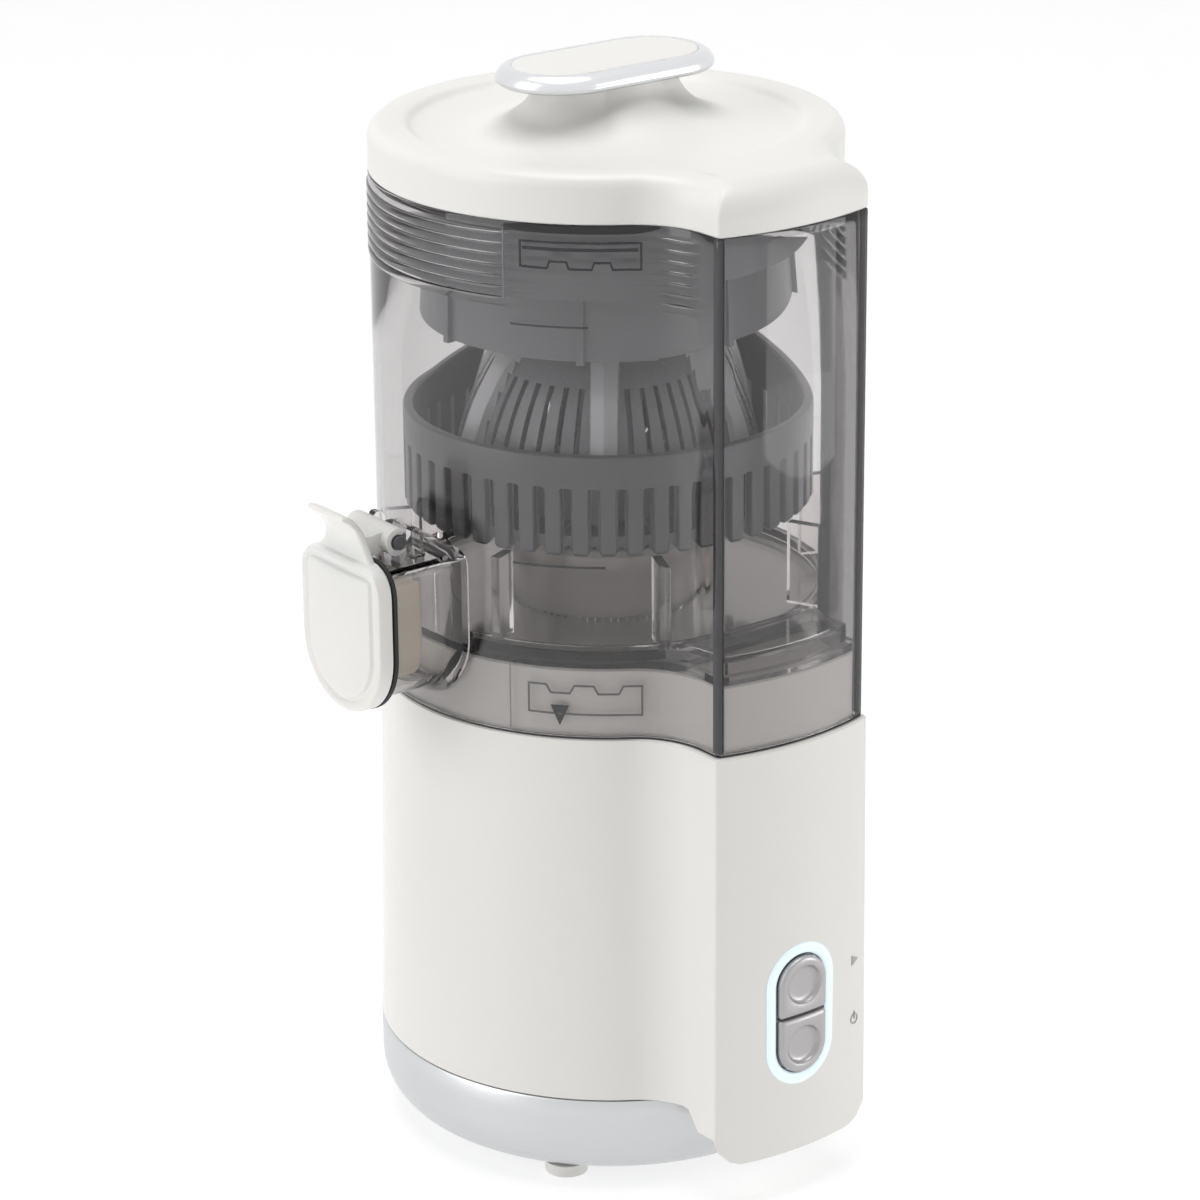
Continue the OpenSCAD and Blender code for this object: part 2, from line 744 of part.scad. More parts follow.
module face_hole(w, tall) {
    translate([0, -face_r + 10, seam_z + ring_up]) rotate([90, 0, 0]) rotate(90)
        linear_extrude(20) stadium(tall, w);
}

module face_slab(w, tall, depth_in, proud) {
    intersection() {
        face_hole(w, tall);
        difference() {
            translate([0, 0, seam_z]) cylinder(h = housing_h, r = face_r + proud);
            translate([0, 0, seam_z - 1]) cylinder(h = housing_h + 2, r = face_r - depth_in);
        }
    }
}

button_w = ring_w - 2 * ring_band;
button_tall = ring_tall - 2 * ring_band;

module light_ring() {
    color([0.85, 0.93, 1]) difference() {
        face_slab(ring_w, ring_tall, 4.5, 0.6);
        face_hole(button_w, button_tall);
    }
}

module button(side) {
    split = 0.35;
    color("silver") difference() {
        intersection() {
            face_slab(button_w - 2 * slide_gap, button_tall - 2 * slide_gap, 6, button_proud);
            translate([-20, -face_r - 10, seam_z + ring_up + (side > 0 ? split : -30)]) cube([40, 30, 30 - split]);
        }
        translate([0, -face_r - button_proud - 11, seam_z + ring_up + side * 9.2]) sphere(r = 12.2);
    }
}

module start_button() { button(1); }
module power_button() { button(-1); }

module control_board() {
    board_y = -column_r + 10.5;
    color("darkgreen") union() {
        translate([-16, board_y, seam_z + ring_up - 26]) cube([32, 1.6, 52]);
        for (side = [-1, 1]) translate([0, board_y + 0.1, seam_z + ring_up + side * 9.6]) rotate([90, 0, 0]) {
            translate([-3, -3, 0]) cube([6, 6, 2.2]);
            cylinder(h = 3.2, r = 1.7);
        }
        // Pegs that hold the board on the housing
        for (x = [-14, 14], z = [-23, 23]) translate([x, board_y + 0.1, seam_z + ring_up + z]) rotate([90, 0, 0])
            cylinder(h = 6.6, r = 1.5);
    }
}

// ---- Base ----

tray_r = round_r + 2.5;

module base_tray() {
    color("silver") difference() {
        union() {
            translate([0, 0, base_z + 10]) cylinder(h = base_h - 10, r = tray_r);
            translate([0, 0, base_z]) rotate_extrude() union() {
                square([tray_r - 12, 11]);
                intersection() {
                    translate([tray_r - 14, 14]) circle(14);
                    square([tray_r, 11]);
                }
            }
        }
        translate([0, 0, base_z + 2.2]) cylinder(h = base_h, r = tray_r - 14);
        translate([0, 0, base_z + 8]) cylinder(h = base_h, r = tray_r - housing_wall - 2.4);
        translate([0, 0, base_z - 1]) cylinder(h = 5, r = plate_r + slide_gap);
        for (x = [-foot_x, foot_x], y = [-foot_y, foot_y]) translate([x, y, base_z - 1]) cylinder(h = 6, r = 3.1);
        translate([0, 50, base_z + 14]) rotate([-90, 0, 0]) cylinder(h = 40, r = 5.05);
    }
}

plate_r = 46;
foot_x = 45.5;
foot_y = 36;

module bottom_plate() {
    color("dimgray") difference() {
        translate([0, 0, base_z + 0.4]) cylinder(h = 1.8, r = plate_r);
        for (a = [0:20:340], d = [18, 26, 34]) rotate(a) translate([d, 0, base_z - 1]) cylinder(h = 5, r = 1.6);
    }
}

module rubber_feet() {
    color("white") for (x = [-foot_x, foot_x], y = [-foot_y, foot_y]) translate([x, y, 0]) {
        cylinder(h = base_z - 0.02, r = 6.5);
        translate([0, 0, base_z - 1]) cylinder(h = 3.4, r = 3);
    }
}

// ---- Drive ----

gear_low_z = seam_z + gear_up;
gear_high_z = gear_low_z + gear_t + 1.5;
centre_d = gear_m * (big_teeth + small_teeth) / 2;
idler_turn = 60;
idler_xy = [centre_d * cos(idler_turn), centre_d * sin(idler_turn)];
motor_turn = 180;
motor_xy = idler_xy + centre_d * [cos(motor_turn), sin(motor_turn)];
bush_r = shaft_r + 3;
shaft_top_z = reamer_z + 12;

module drive_shaft() {
    hex_z = hub_z + 1;
    color("silver") union() {
        translate([0, 0, plate_z - 1.5]) cylinder(h = hex_z - plate_z + 1.5, r = shaft_r);
        translate([0, 0, hex_z]) cylinder(h = shaft_top_z - hex_z, r = hex_w / 2 / cos(30), $fn = 6);
    }
}

module output_gear() {
    color("ivory") translate([0, 0, gear_high_z]) difference() {
        union() {
            linear_extrude(gear_t) gear_outline(big_teeth);
            cylinder(h = gear_t + 3, r = 9);
        }
        translate([0, 0, -1]) cylinder(h = gear_t + 6, r = shaft_r);
    }
}

module idler_gear() {
    half_tooth = 180 / big_teeth;
    color("ivory") translate([idler_xy[0], idler_xy[1], 0]) difference() {
        union() {
            translate([0, 0, gear_low_z]) rotate(motor_turn + half_tooth)
                linear_extrude(gear_t) gear_outline(big_teeth);
            translate([0, 0, gear_low_z + gear_t - 0.5]) rotate(idler_turn + 180 + 180 / small_teeth)
                linear_extrude(gear_t + 2.5) gear_outline(small_teeth);
        }
        translate([0, 0, gear_low_z - 1]) cylinder(h = 40, r = idler_pin_r + running_gap);
    }
}

module idler_pin() {
    color("silver") translate([idler_xy[0], idler_xy[1], plate_z - 2]) cylinder(h = 22, r = idler_pin_r);
}

module shaft_bush() {
    bush_top = hub_z - 2.4 - 1 - lift_gap;
    color("goldenrod") difference() {
        union() {
            translate([0, 0, bush_top - 14]) cylinder(h = 14, r = bush_r);
            translate([0, 0, bush_top - housing_wall - 3]) cylinder(h = 3, r = bush_r + 3);
        }
        translate([0, 0, bush_top - 20]) cylinder(h = 30, r = shaft_r + running_gap);
    }
}

module shaft_seal() {
    seal_z = hub_z - 2.4 - 1 - lift_gap;
    color("black") translate([0, 0, seal_z]) difference() {
        cylinder(h = 0.9, r = bush_r + 2);
        translate([0, 0, -1]) cylinder(h = 3, r = shaft_r + 0.35);
    }
}

plate_z = gear_low_z - 5;

module gear_plate() {
    deck_z = plug_z - housing_wall;
    color("gray") difference() {
        union() {
            translate([0, 0, plate_z]) cylinder(h = gear_plate_t, r = gear_plate_r);
            cylinder_posts(deck_z - plate_z);
        }
        translate([0, 0, plate_z - 1]) cylinder(h = 5, r = shaft_r + running_gap);
        translate([motor_xy[0], motor_xy[1], plate_z - 1]) cylinder(h = 5, r = motor_boss_r + 0.2);
        translate([idler_xy[0], idler_xy[1], plate_z - 1]) cylinder(h = 5, r = idler_pin_r);
        for (a = screw_angles) translate([motor_xy[0] + screw_circle_r * cos(a), motor_xy[1] + screw_circle_r * sin(a), plate_z - 1])
            cylinder(h = 5, r = screw_r + 0.3);
        for (a = post_angles) rotate(a) translate([post_circle_r, 0, plate_z - 1]) cylinder(h = 14, r = screw_r + 0.3);
    }
}

screw_angles = [0, 180];
post_angles = [20, 160, 250];

module cylinder_posts(h) {
    for (a = post_angles) rotate(a) translate([post_circle_r, 0, plate_z]) cylinder(h = h, r = 4);
}

module motor() {
    color("silver") translate([motor_xy[0], motor_xy[1], 0]) difference() {
        union() {
            translate([0, 0, plate_z - motor_len]) cylinder(h = motor_len, r = motor_r);
            translate([0, 0, plate_z - 1]) cylinder(h = 3, r = motor_boss_r);
            translate([0, 0, plate_z - motor_len - 3]) cylinder(h = 4, r = 6);
        }
        translate([0, 0, plate_z - motor_len + 4]) cylinder(h = motor_len + 10, r = motor_shaft_r + running_gap);
        for (a = screw_angles) translate([screw_circle_r * cos(a), screw_circle_r * sin(a), plate_z - 5]) cylinder(h = 6, r = screw_r + 0.3);
    }
}

module motor_pinion() {
    color("silver") translate([motor_xy[0], motor_xy[1], 0]) union() {
        translate([0, 0, plate_z - motor_len + 4.5]) cylinder(h = motor_len + 8, r = motor_shaft_r);
        translate([0, 0, gear_low_z]) rotate(motor_turn + 180) linear_extrude(gear_t) gear_outline(small_teeth);
    }
}

module motor_screws() {
    color("silver") for (a = screw_angles)
        translate([motor_xy[0] + screw_circle_r * cos(a), motor_xy[1] + screw_circle_r * sin(a), plate_z - 4]) {
            cylinder(h = 6.6, r = screw_r);
            translate([0, 0, 6.5]) cylinder(h = 1.2, r = 2.6);
        }
}

module plate_screws() {
    color("silver") for (a = post_angles) rotate(a) translate([post_circle_r, 0, 0]) {
        translate([0, 0, plate_z - 0.1]) cylinder(h = 12, r = screw_r);
        translate([0, 0, plate_z - 1.6]) cylinder(h = 1.6, r = 2.8);
    }
}

module base_screws() {
    color("silver") for (a = [0:120:240]) rotate(a) translate([plate_r - 4, 0, base_z - 0.6])
        cylinder(h = 1, r = 3);
}

module cord_gland() {
    color("black") translate([0, tray_r - 6.5, base_z + 14]) rotate([-90, 0, 0]) difference() {
        union() {
            cylinder(h = 7.5, r = 5);
            translate([0, 0, 7]) cylinder(h = 2, r = 7);
        }
        translate([0, 0, -1]) cylinder(h = 12, r = 3.4);
    }
}

knob_ring();
knob_cap();
lid_shell();
lid_neck();
lid_seal();
guide_ring();
press_spring();
presser_cup();
presser_plate();
jug_shell();
jug_spout();
jug_bearers();
grip_band();
jug_floor();
jug_hub();
hub_collar();
floor_seal();
strainer_basket();
reamer();
drive_socket();
hinge_pin();
spout_flap();
flap_seal();
flap_plug();
housing_shell();
jug_platform();
shaft_turret();
light_ring();
start_button();
power_button();
control_board();
base_tray();
bottom_plate();
rubber_feet();
drive_shaft();
output_gear();
shaft_bush();
shaft_seal();
idler_gear();
idler_pin();
gear_plate();
motor();
motor_pinion();
motor_screws();
plate_screws();
base_screws();
cord_gland();
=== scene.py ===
import bpy, bmesh, math
import numpy as np
from mathutils import Vector, Matrix


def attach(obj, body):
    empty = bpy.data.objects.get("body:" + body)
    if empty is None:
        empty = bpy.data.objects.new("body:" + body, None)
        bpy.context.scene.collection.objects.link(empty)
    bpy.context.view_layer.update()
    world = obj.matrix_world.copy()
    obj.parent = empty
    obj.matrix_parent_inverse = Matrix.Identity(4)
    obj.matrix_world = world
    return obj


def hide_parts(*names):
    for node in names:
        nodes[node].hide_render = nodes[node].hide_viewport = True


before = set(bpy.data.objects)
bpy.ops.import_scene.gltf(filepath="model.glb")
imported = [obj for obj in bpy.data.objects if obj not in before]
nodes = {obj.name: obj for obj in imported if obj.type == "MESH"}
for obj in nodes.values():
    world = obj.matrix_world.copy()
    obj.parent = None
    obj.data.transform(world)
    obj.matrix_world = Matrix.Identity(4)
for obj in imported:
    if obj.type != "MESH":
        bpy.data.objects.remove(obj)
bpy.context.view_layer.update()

# Automatic citrus juicer. Lengths are in millimetres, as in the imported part. Azimuths run from the front (-Y)
# towards the right (+X).
MM = 0.001

# Plan: a round body with a column at its front
BODY_R = 69.5
COLUMN_HALF = 27.0      # half width of the column
COLUMN_R = 90.0         # the column's face, from the axis
HOLLOW_R = 24.0         # hollow between the column and the round body
CORNER_R = 1.3          # the column's corners
FACE_R = 91.2           # the housing's face, where the keys are
WALL = 2.4              # jug wall

# Heights
FOOT_Z = 14.5           # column's foot
SEAM_Z = 30.0           # base tray to housing
JUG_Z = 145.0           # housing to jug
TRAY_Z = 168.8          # juice tray in the jug
LID_Z = 298.0           # jug to lid
RIM_Z = 312.0           # top of the lid's rim
KNOB_Z = 324.5          # underside of the knob


# ---------- materials ----------

def new_mat(name):
    m = bpy.data.materials.new(name)
    m.use_nodes = True
    nt = m.node_tree
    return m, nt, nt.nodes["Principled BSDF"]


def grain(nt, bsdf, scale, strength, rough):
    """Fine procedural surface: bump, and roughness that varies a little."""
    coord = nt.nodes.new("ShaderNodeTexCoord")
    noise = nt.nodes.new("ShaderNodeTexNoise")
    noise.inputs["Scale"].default_value = scale
    noise.inputs["Detail"].default_value = 4.0
    nt.links.new(coord.outputs["Object"], noise.inputs["Vector"])
    if strength:
        bump = nt.nodes.new("ShaderNodeBump")
        bump.inputs["Strength"].default_value = strength
        bump.inputs["Distance"].default_value = 0.0004
        nt.links.new(noise.outputs["Fac"], bump.inputs["Height"])
        nt.links.new(bump.outputs["Normal"], bsdf.inputs["Normal"])
    spread = nt.nodes.new("ShaderNodeMapRange")
    spread.inputs["To Min"].default_value = rough[0]
    spread.inputs["To Max"].default_value = rough[1]
    nt.links.new(noise.outputs["Fac"], spread.inputs["Value"])
    nt.links.new(spread.outputs["Result"], bsdf.inputs["Roughness"])


def plastic(name, colour, rough, scale=900.0, bump=0.03, coat=0.0, metal=0.0, trans=0.0, ior=1.46, sss=0.0):
    m, nt, b = new_mat(name)
    b.inputs["Base Color"].default_value = (*colour, 1)
    b.inputs["Metallic"].default_value = metal
    b.inputs["IOR"].default_value = ior
    b.inputs["Coat Weight"].default_value = coat
    b.inputs["Coat Roughness"].default_value = 0.12
    b.inputs["Transmission Weight"].default_value = trans
    b.inputs["Subsurface Weight"].default_value = sss
    b.inputs["Subsurface Scale"].default_value = 0.004
    grain(nt, b, scale, bump, rough)
    return m


def smoked(name):
    """Clear plastic that darkens with its thickness."""
    m = plastic(name, (0.97, 0.965, 0.965), (0.01, 0.03), 60, 0.0, trans=1.0, ior=1.45)
    nt = m.node_tree
    nt.nodes["Principled BSDF"].inputs["Specular IOR Level"].default_value = 0.5
    tint = nt.nodes.new("ShaderNodeVolumeAbsorption")
    tint.inputs["Color"].default_value = (0.06, 0.01, 0.02, 1)
    tint.inputs["Density"].default_value = 95.0
    nt.links.new(tint.outputs[0], nt.nodes["Material Output"].inputs["Volume"])
    return m


def glowing(name):
    m, nt, b = new_mat(name)
    b.inputs["Base Color"].default_value = (0.5, 0.56, 0.6, 1)
    b.inputs["Emission Color"].default_value = (0.72, 0.88, 1.0, 1)
    b.inputs["Emission Strength"].default_value = 0.62
    grain(nt, b, 900, 0.03, (0.2, 0.3))
    return m


WHITE = plastic("white_gloss", (0.86, 0.845, 0.81), (0.22, 0.28), 700, coat=0.25)
# The lid's matte white, lighter than the body's white: painted light for the lid's brightly lit top.
LID_WHITE_LIT = plastic("lid_white_lit", (0.9, 0.89, 0.86), (0.32, 0.4), bump=0.05)
SILVER = plastic("satin_silver", (0.62, 0.63, 0.64), (0.3, 0.36), 1500, 0.05, metal=0.75)
CHROME = plastic("bright_silver", (0.74, 0.75, 0.77), (0.16, 0.24), 800, metal=0.95)
KEY = plastic("key_silver", (0.44, 0.43, 0.43), (0.3, 0.38), 1500, 0.06, metal=0.6)
DARK = plastic("dark_rubber", (0.015, 0.015, 0.016), (0.5, 0.6), 1200, 0.1)
# Grey plastic of the press cup and guide ring; on the jug's panel edges it is painted shade.
GREY_AND_EDGE_SHADE = plastic("grey_plastic", (0.25, 0.257, 0.27), (0.3, 0.38), 1000, 0.05)
SIEVE = plastic("sieve_grey", (0.17, 0.175, 0.185), (0.3, 0.38), 1000, 0.05)
# Painted light: paler see-through grey for the seal where the column's reflecting face stands in front of it.
SEAL_PAINTED_LIGHT = plastic("seal_painted_light", (0.42, 0.43, 0.45), (0.12, 0.18), 1000, trans=0.35)
# Pale grey of the reamer's socket; on the fins it is a painted highlight, paler than the dome.
PALE_GREY_AND_FIN_HIGHLIGHT = plastic("pale_grey", (0.66, 0.67, 0.69), (0.2, 0.28), 1000)
DOME = plastic("dome_grey", (0.3, 0.305, 0.32), (0.24, 0.32), 1000)
FROST = plastic("frost_white", (0.88, 0.865, 0.835), (0.3, 0.38), bump=0.04, sss=0.1)
CREAM = plastic("cream", (0.8, 0.73, 0.58), (0.35, 0.42), bump=0.05, sss=0.1)
SMOKE = smoked("smoke_clear")
CLEAR = plastic("hub_clear", (0.95, 0.93, 0.92), (0.03, 0.05), 60, 0.0, trans=1.0, ior=1.4)
# Painted shade: grey see-through sheet that darkens the column's right side.
SIDE_SHADE = plastic("painted_side_shade", (0.45, 0.445, 0.45), (0.01, 0.03), 60, 0.0, trans=1.0, ior=1.05)
# Painted shade: near-black for the dark lines at the smoked wall's edges, foot and moulded windows, and in the
# gap round the light ring.
EDGE_SHADE = plastic("painted_edge_shade", (0.028, 0.024, 0.03), (0.2, 0.28))
MARK = plastic("print_grey", (0.06, 0.06, 0.06), (0.5, 0.55), bump=0.02)
# Painted shade: dark grey for the lower latch window's moulded edges.
MOULD_SHADE = plastic("painted_mould_shade", (0.13, 0.125, 0.125), (0.35, 0.42), bump=0.02)
ICON = plastic("icon_grey", (0.45, 0.44, 0.42), (0.5, 0.55), bump=0.02)
STEEL = plastic("steel", (0.7, 0.7, 0.71), (0.2, 0.3), metal=1.0)
GREEN = plastic("board_green", (0.03, 0.2, 0.08), (0.35, 0.45), 800, 0.05)
IVORY = plastic("gear_ivory", (0.78, 0.73, 0.58), (0.4, 0.5), bump=0.05)
BRONZE = plastic("bronze", (0.6, 0.4, 0.18), (0.3, 0.4), bump=0.05, metal=0.9)
FOOT = plastic("white_rubber", (0.78, 0.77, 0.74), (0.5, 0.6), bump=0.08)
BLACK = plastic("dark_plastic", (0.08, 0.08, 0.085), (0.4, 0.5), bump=0.06)
GLOW = glowing("glow_ring")

CARRIED = (
    (CHROME, "knob_ring"),
    (LID_WHITE_LIT, "knob_cap lid_shell lid_neck"),
    (DARK, "lid_seal floor_seal flap_seal shaft_seal cord_gland"),
    (GREY_AND_EDGE_SHADE, "guide_ring presser_cup presser_plate"),
    (STEEL, "press_spring drive_shaft idler_pin motor motor_pinion motor_screws plate_screws base_screws"),
    (SMOKE, "jug_shell jug_spout grip_band"),
    (CLEAR, "jug_bearers jug_floor jug_hub hub_collar"),
    (SIEVE, "strainer_basket"),
    (PALE_GREY_AND_FIN_HIGHLIGHT, "reamer drive_socket"),
    (BLACK, "hinge_pin bottom_plate gear_plate"),
    (FROST, "spout_flap"),
    (CREAM, "flap_plug"),
    (WHITE, "housing_shell jug_platform shaft_turret"),
    (GLOW, "light_ring"),
    (KEY, "start_button power_button"),
    (GREEN, "control_board"),
    (SILVER, "base_tray"),
    (FOOT, "rubber_feet"),
    (IVORY, "output_gear idler_gear"),
    (BRONZE, "shaft_bush"),
)
for mat, names in CARRIED:
    for node_name in names.split():
        mesh_slots = nodes[node_name].data.materials
        mesh_slots.clear()
        mesh_slots.append(mat)


# ---------- meshes ----------

def build(name, verts, faces, mat, body=None, sharp=32, replace=()):
    me = bpy.data.meshes.new(name)
    me.from_pydata([(float(v[0]) * MM, float(v[1]) * MM, float(v[2]) * MM) for v in verts], [], faces)
    bm = bmesh.new()
    bm.from_mesh(me)
    bmesh.ops.remove_doubles(bm, verts=bm.verts, dist=1e-7)
    bmesh.ops.dissolve_degenerate(bm, edges=bm.edges, dist=1e-7)
    bmesh.ops.recalc_face_normals(bm, faces=bm.faces)
    bm.to_mesh(me)
    bm.free()
    me.materials.append(mat)
    o = bpy.data.objects.new(name, me)
    bpy.context.scene.collection.objects.link(o)
    shade(o, sharp)
    if body:
        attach(o, body)
    for n in replace:
        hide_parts(n)
    return o


def shade(o, sharp):
    """Smooth shading, with edges above the angle left sharp."""
    me = o.data
    me.polygons.foreach_set("use_smooth", [True] * len(me.polygons))
    me.set_sharp_from_angle(angle=math.radians(sharp))
    me.update()


def cut(obj, other, op="DIFFERENCE", sharp=32):
    """Boolean with a helper mesh, which is deleted."""
    m = obj.modifiers.new("cut", "BOOLEAN")
    m.object = other
    m.operation = op
    m.solver = "EXACT"
    dg = bpy.context.evaluated_depsgraph_get()
    me = bpy.data.meshes.new_from_object(obj.evaluated_get(dg))
    obj.modifiers.clear()
    old = obj.data
    obj.data = me
    bpy.data.meshes.remove(old)
    bpy.data.objects.remove(other)
    shade(obj, sharp)


def loft(rows, ring=False, caps=(False, False)):
    """Joins loops of equal length; ring joins the last loop to the first."""
    n, k = len(rows[0]), len(rows)
    faces = []
    for s in range(k if ring else k - 1):
        a, b = s * n, ((s + 1) % k) * n
        for i in range(n):
            j = (i + 1) % n
            faces.append((a + i, a + j, b + j, b + i))
    if caps[0]:
        faces.append(tuple(range(n - 1, -1, -1)))
    if caps[1]:
        faces.append(tuple(range((k - 1) * n, k * n)))
    return np.vstack(rows), faces


def solid(rows):
    return loft(rows, caps=(True, True))


def merge(*parts):
    verts, faces, start = [], [], 0
    for v, f in parts:
        verts.append(np.asarray(v, float))
        faces += [tuple(i + start for i in q) for q in f]
        start += len(v)
    return np.vstack(verts), faces


def block(x0, y0, z0, x1, y1, z1):
    v = [(x, y, z) for z in (z0, z1) for y in (y0, y1) for x in (x0, x1)]
    return np.array(v), [(0, 2, 3, 1), (4, 5, 7, 6), (0, 1, 5, 4), (2, 6, 7, 3), (0, 4, 6, 2), (1, 3, 7, 5)]


def turned(mesh, a):
    """The mesh turned about the axis."""
    v, f = mesh
    c, s = math.cos(a), math.sin(a)
    return np.column_stack([v[:, 0] * c - v[:, 1] * s, v[:, 0] * s + v[:, 1] * c, v[:, 2]]), f


# ---------- outlines ----------

# Points on each stretch of half the plan: face, corner, side, hollow, round body
N_FACE, N_CORNER, N_SIDE, N_HOLLOW, N_BODY = 8, 5, 4, 12, 56


def outline(inset=0.0, col=None, corner=CORNER_R):
    """Plan of the jug, lid and housing, from the front round by the right; col is the column's own inset."""
    col = inset if col is None else col
    r, w, cr = BODY_R - inset, COLUMN_HALF - col, COLUMN_R - col
    yc = -math.sqrt((cr - corner) ** 2 - (w - corner) ** 2)
    # The hollow ends before the corner begins
    hr = min(HOLLOW_R + inset, ((yc + 0.5) ** 2 - r * r + w * w) / (2 * (r - w)))
    cx = w + hr
    cy = math.sqrt((r + hr) ** 2 - cx * cx)
    a0 = math.atan2(w - corner, -yc)
    a1 = math.atan2(cy, -cx)
    a2 = math.atan2(cx, cy)
    pts = [(cr * math.sin(a), -cr * math.cos(a)) for a in np.linspace(0, a0, N_FACE, endpoint=False)]
    pts += [(w - corner + corner * math.sin(a), yc - corner * math.cos(a))
            for a in np.linspace(a0, math.pi / 2, N_CORNER)]
    pts += [(w, y) for y in np.linspace(yc, -cy, N_SIDE + 2)[1:-1]]
    pts += [(cx + hr * math.cos(a), -cy + hr * math.sin(a)) for a in np.linspace(math.pi, a1, N_HOLLOW)]
    pts += [(r * math.sin(a), -r * math.cos(a)) for a in np.linspace(a2, math.pi, N_BODY)[1:]]
    right = np.array(pts)
    left = right[1:-1][::-1] * [-1, 1]
    return np.vstack([right, left])


BASE = outline()
AZ = np.arctan2(BASE[:, 0], -BASE[:, 1])
# 0 on the column, 1 on the round body, in between along the hollow
_half = np.concatenate([np.zeros(N_FACE + N_CORNER + N_SIDE), np.linspace(0, 1, N_HOLLOW),
                        np.ones(N_BODY - 1)])
ROUND = np.concatenate([_half, _half[1:-1][::-1]])
AZ_EVEN = np.linspace(0, 2 * math.pi, 96, endpoint=False)


def at(xy, z):
    return np.column_stack([xy, np.broadcast_to(z, (len(xy),))])


def circle(r, az=AZ):
    return np.column_stack([r * np.sin(az), -r * np.cos(az)])


def stadium(length, width, n=96):
    """Slot outline, long way along X."""
    r, h = width / 2, (length - width) / 2
    t = np.linspace(0, 2 * math.pi, n, endpoint=False)
    x = r * np.cos(t) + h * np.sign(np.cos(t) + 1e-12)
    return np.column_stack([x, r * np.sin(t)])


def across(x, yz):
    """Loop in a plane that faces along X."""
    return np.column_stack([np.full(len(yz), x), yz])


def prism(xz, *ys):
    """Solid of one (x, z) profile between planes that face along Y."""
    return solid([np.array([(x, y, z) for x, z in xz]) for y in ys])


# ---------- lid and knob ----------

NECK = (46, 26)         # pedestal under the knob
DISH_R, DISH = 46, 2.0  # dished top of the lid


def quarter(width, height, n=9):
    """Rounded edge from its foot upwards: pairs of inset and drop."""
    return [(width * (1 - math.cos(a)), height * (1 - math.sin(a))) for a in np.linspace(0, math.pi / 2, n)]


def lid_body():
    """Rounded rim, dished top, and a pedestal that flows up to the knob; open below."""
    lip, hem = 2.6, LID_Z + 0.05
    rows = [at(outline(lip), hem), at(outline(0.5), hem), at(outline(0.1), LID_Z + 0.5)]
    for (inset, drop), (col, col_drop) in zip(quarter(4.0, 4.5), quarter(9.0, 9.0)):
        z = RIM_Z - drop * ROUND - col_drop * (1 - ROUND)
        rows.append(at(outline(inset, col, CORNER_R + 0.15 * col), z))
    step = ((60, 0.0), (58.6, 0.15), (57.6, 0.6), (57.0, 1.3), (56.2, 1.8), (54.5, DISH), (DISH_R, DISH))
    rows += [at(circle(r), RIM_Z - drop) for r, drop in step]
    neck = stadium(*NECK, 720)
    neck_az = np.arctan2(neck[:, 0], -neck[:, 1])
    order = np.argsort(neck_az)
    neck_r = np.interp(AZ, neck_az[order], np.hypot(neck[:, 0], neck[:, 1])[order], period=2 * math.pi)
    for t in np.linspace(0, 1, 12)[1:]:
        a = t * math.pi / 2
        r = DISH_R + (neck_r - DISH_R) * math.sin(a)
        z = RIM_Z - DISH + (KNOB_Z - RIM_Z + DISH) * (1 - math.cos(a))
        rows.append(at(circle(1.0) * r[:, None], z))
    inner = [at(outline(lip), hem), at(outline(lip), RIM_Z - 6.4)]
    mesh = merge(loft(rows, caps=(False, True)), loft(inner, caps=(False, True)))
    build("lid_body", *mesh, LID_WHITE_LIT, "lid", 40, ["lid_shell", "lid_neck"])


def knob_part(name, profile, mat, node):
    """Stack of slot outlines: pairs of inset and height above the knob's underside."""
    length, width = 70, 38
    rows = [at(stadium(length - 2 * i, width - 2 * i), KNOB_Z + z) for i, z in profile]
    build(name, *solid(rows), mat, "lid", 40, [node])


def knob():
    rim = [(9, 0.0), (2.0, 0.0), (0.7, 0.35), (0.1, 1.0), (0.0, 1.9), (0.35, 3.0), (1.2, 4.2), (2.3, 5.0),
           (3.6, 5.4), (4.4, 5.3), (4.7, 4.9)]
    inset = [(4.75, 4.95), (4.9, 5.3), (5.4, 5.45), (7.5, 5.5)]
    knob_part("knob_rim", rim, CHROME, "knob_ring")
    knob_part("knob_inset", inset, LID_WHITE_LIT, "knob_cap")


# ---------- housing and base tray ----------

def housing_edge():
    """Lower edge: the seam, which dips round the column's foot."""
    r = 9.0
    over = np.clip(np.abs(BASE[:, 0]) - (COLUMN_HALF - r), 0, r)
    dip = FOOT_Z + r - np.sqrt(np.clip(r * r - over ** 2, 0, r * r))
    fade = np.clip(ROUND / 0.2, 0, 1)
    in_column = (ROUND < 0.999) & (BASE[:, 1] < 0)
    return np.where(in_column, dip * (1 - fade) + SEAM_Z * fade, SEAM_Z)


def column_foot():
    """Solid foot of the column below the seam, with rounded lower corners."""
    half, r, bottom, high = 28.55, 9.05, 14.55, 32.0
    left = [(-half, high)]
    left += [(r - half - r * math.cos(a), bottom + r - r * math.sin(a))
             for a in np.linspace(0, math.pi / 2, 9)]
    plain = np.array(left + [(-x, z) for x, z in left[::-1]])
    dense = []
    for (xa, za), (xb, zb) in zip(plain, np.roll(plain, -1, axis=0)):
        k = max(1, int(abs(xb - xa) / 3))
        dense += [(xa + (xb - xa) * t, za + (zb - za) * t) for t in np.linspace(0, 1, k, endpoint=False)]
    x, z = np.array(dense).T
    return solid([np.column_stack([x, -np.sqrt(r ** 2 - x ** 2), z]) for r in (72.5, 90.6)])


